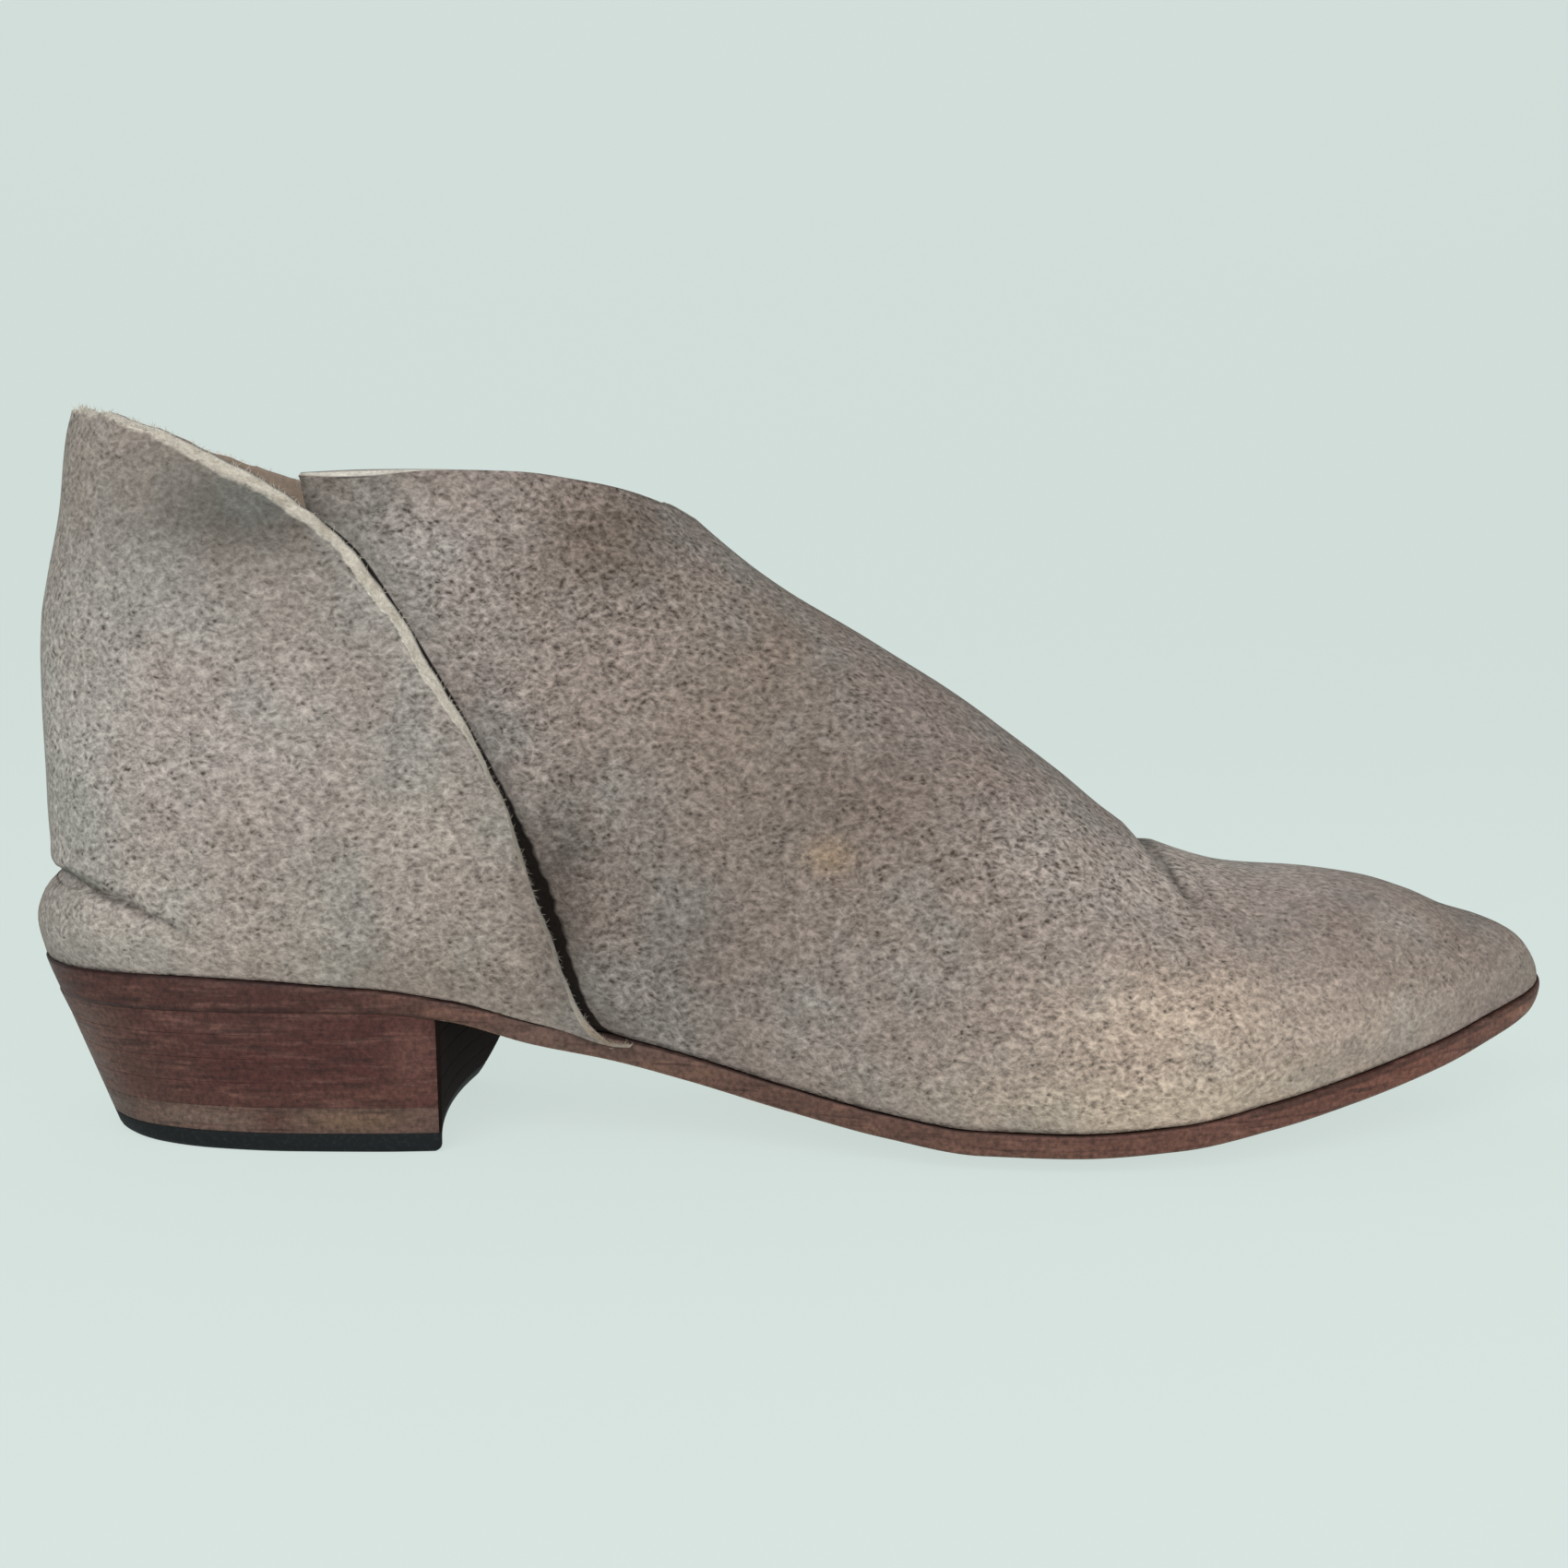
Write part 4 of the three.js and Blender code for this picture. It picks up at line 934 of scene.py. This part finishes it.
sole_angles = np.linspace(0, np.pi, 341)
across = np.linspace(0, 1, 25)[:, None]
edge_steps = np.linspace(0, 1, 13)[1:-1]
n_low, n_edge = len(across), len(edge_steps)
bow = (4 * edge_steps * (1 - edge_steps)) ** 0.5
rings = []
for angle in sole_angles:
    high_outer, high_inner, low_outer, low_inner = (
        np.array(sole_edge(angle, side, slant)) for slant in (0, 1) for side in (-1, 1))
    low = low_outer + (low_inner - low_outer) * across
    low = np.column_stack([low, np.maximum(0.0, sole_underside(*low.T))])
    high = high_inner + (high_outer - high_inner) * across
    high = np.column_stack([high, sole_top(*high.T)])
    bulge = 0.22 * min(1.0, float(sole_half(to_share(angle), -1)) / 10)
    nose = 0.9 * max(0.0, 1 - (1 - to_share(angle)) / 0.03)
    rounding = np.column_stack([nose * bow, bulge * bow, 0 * bow])
    up_inner = low[-1] + (high[0] - low[-1]) * edge_steps[:, None] + rounding
    down_outer = high[-1] + (low[0] - high[-1]) * edge_steps[:, None] + rounding * [1, -1, 1]
    rings.append(np.concatenate([low, up_inner, high, down_outer]))
rings = np.array(rings) - ORIGIN
ring = rings.shape[1]
sole_points = rings.reshape(-1, 3)
# The ring's columns: the underside, the inner edge going up, the top from and to, the outer edge going down.
top_from, top_to = n_low + n_edge, 2 * n_low + n_edge
index = np.arange(len(sole_points)).reshape(len(sole_angles), ring)
for tip in (0, -1):
    index[tip, :n_low] = index[tip, 0]
    index[tip, top_from:top_to] = index[tip, top_from]
    index[tip, top_to:] = index[tip, n_low:top_from][::-1]
index = np.concatenate([index, index[:, :1]], axis=1)
_, sole_quads, used = compact(sole_points, square_faces(index, True))
faces = distinct(sole_quads)
kinds = [int(k % ring < n_low - 1) for k, face in enumerate(faces) if len(face) > 2]
faces = [face for face in faces if len(face) > 2]
print("sole rings:", len(rings), "of", ring, "points")

# %% Colour the sole and make it
SCUFFS, SCUFF_COLOURS = 46, ("#84604f", "#75503f", "#3a2721")
scuff_rng = np.random.default_rng(31)
scuffs = []
for k in scuff_rng.integers(110, 335, SCUFFS):
    centre = rings[k, -scuff_rng.integers(2, n_edge)]
    colour = SCUFF_COLOURS[scuff_rng.integers(0, 3)]
    reach = scuff_rng.uniform(0.8, 3.5), scuff_rng.uniform(0.5, 1.3)
    scuffs.append((centre[0], centre[2], *reach, colour, scuff_rng.uniform(0.35, 0.75)))
SOLE_PATCHES = [
    (-40, 20, 30, 8, "#5d4a42", 0.8), (20, 8, 45, 10, "#594239", 0.7), (60, 8, 35, 12, "#5f3e34", 0.7),
    (100, 18, 25, 12, "#6a3e32", 0.7), (110, 24, 6, 2.5, "#855f4e", 0.7), (122, 30, 6, 3, "#7a5142", 0.5),
    (92.5, 14.6, 1.2, 0.8, "#e8e0d6", 0.9), (-92, 26, 33, 10, "#422622", 0.97),
    (-125, 27, 20, 10, "#422622", 0.9)]
TREAD_PATCHES = [(45, 2, 40, 30, "#5f4c40", 0.8), (-30, 18, 30, 12, "#7d5f4d", 0.6)]


def on_ring(columns, where=True):
    """The points in these columns of every ring."""
    chosen = np.zeros(ring, bool)
    chosen[list(columns)] = True
    return np.tile(chosen, len(sole_angles)) & where


toe, heel = sole_points[:, 0] > 75, sole_points[:, 0] < -61
tone = painted(sole_points, "#533a31", scuffs + SOLE_PATCHES)
# Painted shadow under the upper: the top corner of the sole's edge is darkened, and at the toe also the upper
# rows of the edge below it.
tone[on_ring([top_from, top_from + 1, top_to - 2, top_to - 1])] *= 0.35
tone[on_ring([top_from - 2, top_from - 1, top_to, top_to + 1, top_to + 2], toe)] *= 0.5
# The sole's lower corner over the heel, where it meets the lifts, is painted darker.
heel_corner = on_ring([0, 1, n_low - 2, n_low - 1, n_low, ring - 1], heel)
tone[heel_corner] *= 0.75
under = on_ring(range(n_low)) & ~heel_corner
tone[under] = painted(sole_points[under], "#7b6150", TREAD_PATCHES)
make_piece(
    "sole_leather", sole_points[used], faces, [dyed, tread], kinds, tone[used], ["outsole"])

# %% [markdown]
# ## The stacked heel
#
# Five lifts of leather are glued and nailed into a block, trimmed to one slope and dyed. Each lift keeps a
# hair's breadth of rounding at its edges, so thin lines show where they meet. A rubber piece takes the wear.


# %% Lifts and the rubber piece
HEEL_LENGTH, HEEL_BACK, BACK_SLOPE = 74.5, 2.4, 0.4
BREAST_SWEEP, BREAST_START, BREAST_HOLLOW = 13.2, 2, 9.2


def heel_outline(height, inset, per_side=64):
    """The heel seen from above at one height, and which of its points lie on the breast."""
    rise = height / HEEL_HEIGHT
    back = SOLE_BACK + HEEL_BACK + BACK_SLOPE * (HEEL_HEIGHT - height) + inset
    v = 1 - np.cos(np.pi / 2 * np.linspace(0, 1, per_side + 1))
    sides = []
    for side in (-1, 1):
        half = sole_half(v * HEEL_LENGTH / SOLE_LENGTH, side) - (0.6 + inset) * np.minimum(1, v * 12)
        sweep = BREAST_SWEEP * max(rise, 0) ** 0.8 - BREAST_START if side > 0 else 0.0
        x = back + (SOLE_BACK + HEEL_LENGTH - inset + sweep - back) * v
        covered = sole_half(np.clip((x - SOLE_BACK) / SOLE_LENGTH, 0, 1), side) - 0.8
        half = np.where(v > 0.5, np.minimum(half, covered), half)
        x[-1] -= 0.5
        sides.append(np.stack([x, side * half * (0.9 + 0.1 * rise)], axis=1))
    outer, inner = sides
    steps = np.array([0.02, 0.06, *np.linspace(0.12, 0.88, 12), 0.94, 0.98])[:, None]
    hollow = 0.5 - BREAST_HOLLOW * steps * (1 - steps)
    across = inner[-1] + (outer[-1] - inner[-1]) * steps + hollow * [1, 0]
    breast = [False] * len(inner) + [True] * len(across) + [False] * (len(outer) - 1)
    return np.concatenate([inner, across, outer[1:][::-1]]), breast


def heel_block(name, heights, insets, top_limit, materials, base, patches, slot, nodes):
    """A stack of outlines with flat ends. top_limit: the upper ones follow the underside of the sole."""
    rings = []
    for height, inset in zip(heights, insets):
        outline, breast = heel_outline(height, inset)
        z = np.full(len(outline), float(height))
        if top_limit and height > heights[0]:
            share_up = (height - heights[0]) / (heights[-1] - heights[0])
            seat = sole_underside(outline[:, 0], outline[:, 1] * 0) - 0.03
            z = heights[0] + (np.minimum(heights[-1], seat) - heights[0]) * share_up
        rings.append(np.column_stack([outline, z]) - ORIGIN)
    rings = np.array(rings)
    levels, count = rings.shape[:2]
    points = np.concatenate([rings.reshape(-1, 3), [rings[0].mean(0), rings[-1].mean(0)]])
    index = np.arange(levels * count).reshape(levels, count)
    index = np.concatenate([index, index[:, :1]], axis=1)
    here, after = index[:, :-1], index[:, 1:]
    faces = np.stack([after[:-1], here[:-1], here[1:], after[1:]], axis=-1).reshape(-1, 4).tolist()
    low, high, top = levels * count, levels * count + 1, (levels - 1) * count
    for a, b in zip(here[0].tolist(), after[0].tolist()):
        faces += [[low, a, b], [high, top + b, top + a]]
    # Faces on the breast take the second material, which for the lifts is the painted shadow of the breast.
    kinds = [int(len(face) == 4 and any(breast[v % count] for v in face)) for face in faces]
    make_piece(name, points, faces, materials, kinds, painted(points, base, patches), nodes)


LIFT_PATCHES = [
    (-66, 17, 4, 6, "#65463d", 0.5), (-125, 14, 9, 16, "#624b43", 0.8), (-110, 12, 8, 8, "#4f362f", 0.5),
    (-95, 23, 14, 3, "#4f3630", 0.4), (-70, 11, 10, 2, "#58392f", 0.5), (-90, 9.5, 25, 1.2, "#583d34", 0.4)]
WORN_PATCHES = [
    (-104, 6, 12, 2, "#69564b", 0.9), (-90, 6, 3, 2, "#4b2d27", 0.8), (-76, 6, 9, 2, "#66513f", 0.8)]
LIFT_TOPS = [3.6, 8.2, 12.5, 16.8, 21.1, HEEL_HEIGHT + 0.6]
LIFT_INSETS = [0.07, 0.015, 0.0, 0.0, 0.0, 0.015, 0.07]
WORN_LIFT, FIRST_CUT_LIFT = 1, 4
for number, (low, high) in enumerate(zip(LIFT_TOPS, LIFT_TOPS[1:]), start=1):
    heights = [low + 0.01, low + 0.09, low + 0.3, (low + high) / 2, high - 0.3, high - 0.09, high - 0.01]
    looks = ("#452622", LIFT_PATCHES, "heel_leather")
    if number == WORN_LIFT:
        looks = ("#503d36", WORN_PATCHES, "worn_heel_leather")
    heel_block(
        f"lift_{number}_leather", heights, LIFT_INSETS, number >= FIRST_CUT_LIFT, [dyed, breast_shadow], *looks,
        [f"heel_lift_{number}"])
RUBBER_HEIGHTS = [0.0, 0.12, 0.4, 0.85, 1.4, 2.4, 3.45, 3.58]
RUBBER_INSETS = [1.3, 0.85, 0.42, 0.12, 0.0, 0.0, 0.0, 0.1]
heel_block(
    "walking_piece_rubber", RUBBER_HEIGHTS, RUBBER_INSETS, False, [rubber, rubber], "#15181a", [], "rubber",
    ["heel_top_piece"])

# %% [markdown]
# ## The sock
#
# The sock covers the sole inside, between the walls. Its edge lifts a little where it meets the leather, and
# it is darker where the heel and the ball of the foot press.

# %% Sock
SOCK_THICK, SOCK_TOE = 2, 0.9


def smooth_step(share, start, width):
    t = np.clip((share - start) / width, 0, 1)
    return t**2 * (3 - 2 * t)


share = to_share(np.linspace(0, np.pi, 161))
sock_across = np.linspace(-1, 1, 41)
gap = smooth_step(share, 0.2, 0.05) * 2.2 + smooth_step(share, 0.92, 0.08) * 3
half_out, half_in = (np.maximum(foot_width(share, side) - gap, 0)[:, None] for side in (-1, 1))
toe_x = LAST_BACK + LAST_LENGTH * SOCK_TOE
sock_x = LAST_BACK + share * LAST_LENGTH
sock_x = np.where(share > SOCK_TOE, toe_x + (sock_x - toe_x) * 0.81, sock_x)
grid_y = sole["swing"](share)[:, None] * HALF_BALL + sock_across * np.where(sock_across < 0, half_out, half_in)
grid_x = np.repeat(sock_x[:, None], len(sock_across), axis=1)
low_z = sole_top(grid_x, grid_y) + CLEARANCE
top_z = low_z + SOCK_THICK + 0.5 * np.abs(sock_across) ** 6
sock_top, sock_low = (np.stack([grid_x, grid_y, z], axis=-1).reshape(-1, 3) - ORIGIN for z in (top_z, low_z))
index = np.arange(len(sock_top)).reshape(len(share), -1)
for tip in (0, -1):
    index[tip, :] = index[tip, 0]
sock_top, sock_quads, used = compact(sock_top, square_faces(index))
points, faces, _ = walled(sock_top, sock_low[used], sock_quads, 2)
tone = painted(points, "#7c6b5b", [(-100, 32, 30, 30, "#5f5145", 0.6), (50, 8, 34, 30, "#62544a", 0.6)])
make_piece("sock_lining", points, faces, [sock], [0] * len(faces), tone, ["insole"])

# %% [markdown]
# ## Loose fibres on the raw edge
#
# A cut through thick leather is never clean. Geometry Nodes scatter short hairs along the edge: one point per
# hair, each with the direction that its hair grows in, an instance on every point, turned and sized at random
# from a fixed seed, and at the end real geometry with the raw edge's material.

# %% Points and directions for the fibres
FIBRE_LENGTH, FIBRE_WIDTH, FIBRE_SEED = 1.1, 0.055, 3
FEW, MANY, BACK_CORNER = 3, 7, -112

rng = np.random.default_rng(7)
top_line = panel_index[:, -1]
outer_edge, inner_edge, edge_normals = panel_outer[top_line], panel_inner[top_line], panel_out_normals[top_line]
seeds, grows = [], []
for k in range(1, len(top_line) - 1):
    a, b, n = outer_edge[k], inner_edge[k], edge_normals[k]
    along = inner_edge[k + 1] - inner_edge[k - 1]
    away = np.cross(along, n)
    away /= max(np.linalg.norm(away), 1e-9)
    if away[2] < 0:
        away = -away
    ahead = along / np.linalg.norm(along)
    for _ in range(FEW if a[0] < BACK_CORNER else MANY):
        t = rng.uniform(0.0, 1.0)
        seeds.append(a + (b - a) * t + along * rng.uniform(-0.5, 0.5))
        grows.append(away * rng.uniform(0.5, 1.0) + n * rng.uniform(-0.1, 0.9) + ahead * rng.uniform(-0.9, 0.9))
mesh = bpy.data.meshes.new("fibre_points")
mesh.from_pydata((np.array(seeds) * MM).tolist(), [], [])
grow = mesh.attributes.new("grow", "FLOAT_VECTOR", "POINT")
grow.data.foreach_set("vector", np.array(grows, np.float32).ravel())
fibre_object = new_object("raw_edge_fibres", mesh)
print("fibres:", len(seeds))

# %% Grow the fibres with Geometry Nodes
group = bpy.data.node_groups.new("loose_fibres", "GeometryNodeTree")
sockets = {}
for in_out, name, kind in (
        ("INPUT", "Geometry", "Geometry"), ("INPUT", "Length", "Float"), ("INPUT", "Width", "Float"),
        ("INPUT", "Seed", "Int"), ("OUTPUT", "Geometry", "Geometry")):
    sockets[name] = group.interface.new_socket(name, in_out=in_out, socket_type="NodeSocket" + kind)
entry = node(group, "NodeGroupInput").outputs
hair = node(group, "GeometryNodeMeshCone", {
    "Vertices": 3, "Radius Top": 0.0, "Radius Bottom": entry["Width"], "Depth": entry["Length"]})
direction = node(group, "GeometryNodeInputNamedAttribute", {"Name": "grow"}, data_type="FLOAT_VECTOR")
turn = node(group, "FunctionNodeAlignRotationToVector", {"Vector": direction}, axis="Z")
size = node(
    group, "FunctionNodeRandomValue", {"Min": 0.4, "Max": 1.3, "Seed": entry["Seed"]}, data_type="FLOAT")
placed = node(group, "GeometryNodeInstanceOnPoints", {
    "Points": entry["Geometry"], "Instance": hair, "Rotation": turn})
scaled = node(group, "GeometryNodeScaleInstances", {"Instances": placed, "Scale": size})
real = node(group, "GeometryNodeRealizeInstances", [scaled])
coloured = node(group, "GeometryNodeSetMaterial", {"Geometry": real, "Material": raw_edge})
node(group, "NodeGroupOutput", [coloured])
modifier = fibre_object.modifiers.new("fibres", "NODES")
modifier.node_group = group
for name, value in (("Length", FIBRE_LENGTH * MM), ("Width", FIBRE_WIDTH * MM), ("Seed", FIBRE_SEED)):
    modifier[sockets[name].identifier] = value
graph = bpy.context.evaluated_depsgraph_get()
grown = bpy.data.meshes.new_from_object(fibre_object.evaluated_get(graph), depsgraph=graph)
fibre_object.modifiers.clear()
fibre_object.data = grown
grown.name = "raw_edge_fibres"
co = np.zeros(len(grown.vertices) * 3, np.float32)
grown.vertices.foreach_get("co", co)
paint = painted(co.reshape(-1, 3).astype(float) / MM, "#d8d1c1", EDGE_PATCHES)
layer = grown.color_attributes.new("tone", "FLOAT_COLOR", "POINT")
layer.data.foreach_set("color", np.column_stack([paint, np.ones(len(paint))]).astype(np.float32).ravel())
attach(fibre_object, "root")
print("fibre faces:", len(grown.polygons))

# %% [markdown]
# ## Floor and light
#
# A pale floor that curves up behind the shoe, one large soft light from the front left, a weaker one from
# the right and a pale sky, so that shadows stay soft and the leather's grain still reads.

# %% Floor
PAPER = linear("#d3dfdb")
floor_rows = [
    (-9.0, 0.0), (0.8, 0.0), (1.3, 0.03), (1.7, 0.14), (2.0, 0.36), (2.2, 0.7), (2.25, 1.2), (2.25, 4.0)]
floor_points = [(x, y, z) for y, z in floor_rows for x in (-9.0, 9.0)]
floor_faces = [[2 * k, 2 * k + 1, 2 * k + 3, 2 * k + 2] for k in range(len(floor_rows) - 1)]
floor_mesh = bpy.data.meshes.new("floor")
floor_mesh.from_pydata(floor_points, [], floor_faces)
floor_mesh.polygons.foreach_set("use_smooth", [True] * len(floor_mesh.polygons))
floor = new_object("floor", floor_mesh)
paper = bpy.data.materials.new("pale_paper")
close_finish(empty_tree(paper), {
    "Base Color": (*(0.22 * PAPER), 1), "Roughness": 0.95, "Specular IOR Level": 0.0,
    "Emission Color": (*PAPER, 1), "Emission Strength": 0.87})
floor_mesh.materials.append(paper)
floor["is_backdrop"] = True
print("floor faces:", len(floor_faces))


# %% Light
def soft_light(name, place, aim, size, power, colour):
    data = bpy.data.lights.new(name, "AREA")
    data.size, data.energy, data.color = size, power, linear(colour)
    light = new_object(name, data)
    light.location = place
    back = np.array(place) - np.array(aim)
    flat = math.hypot(back[0], back[1])
    light.rotation_euler = (math.atan2(flat, back[2]), 0, math.atan2(back[0], -back[1]))
    print(name, "light:", power, "W")


AIM = (0, 0, 0.05)
soft_light("window", (-0.4, -1.25, 0.75), AIM, 1.1, 16, "#fdfbfb")
soft_light("fill", (0.95, -1.0, 0.30), AIM, 1.0, 10, "#fdfbff")
world = bpy.data.worlds.new("pale_sky")
bpy.context.scene.world = world
sky_tree = empty_tree(world)
sky = node(sky_tree, "Background", {"Color": rgba("#ebebee"), "Strength": 0.30})
node(sky_tree, "OutputWorld", {"Surface": sky})
bpy.context.scene.view_settings.view_transform = "Standard"

# %% Compare the sizes and finish
low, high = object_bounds()
for name, ends in (("visual", (low, high)), ("solids", (cad_low, cad_high))):
    print(name, [round((ends[1][k] - ends[0][k]) / MM, 1) for k in range(3)], "mm")
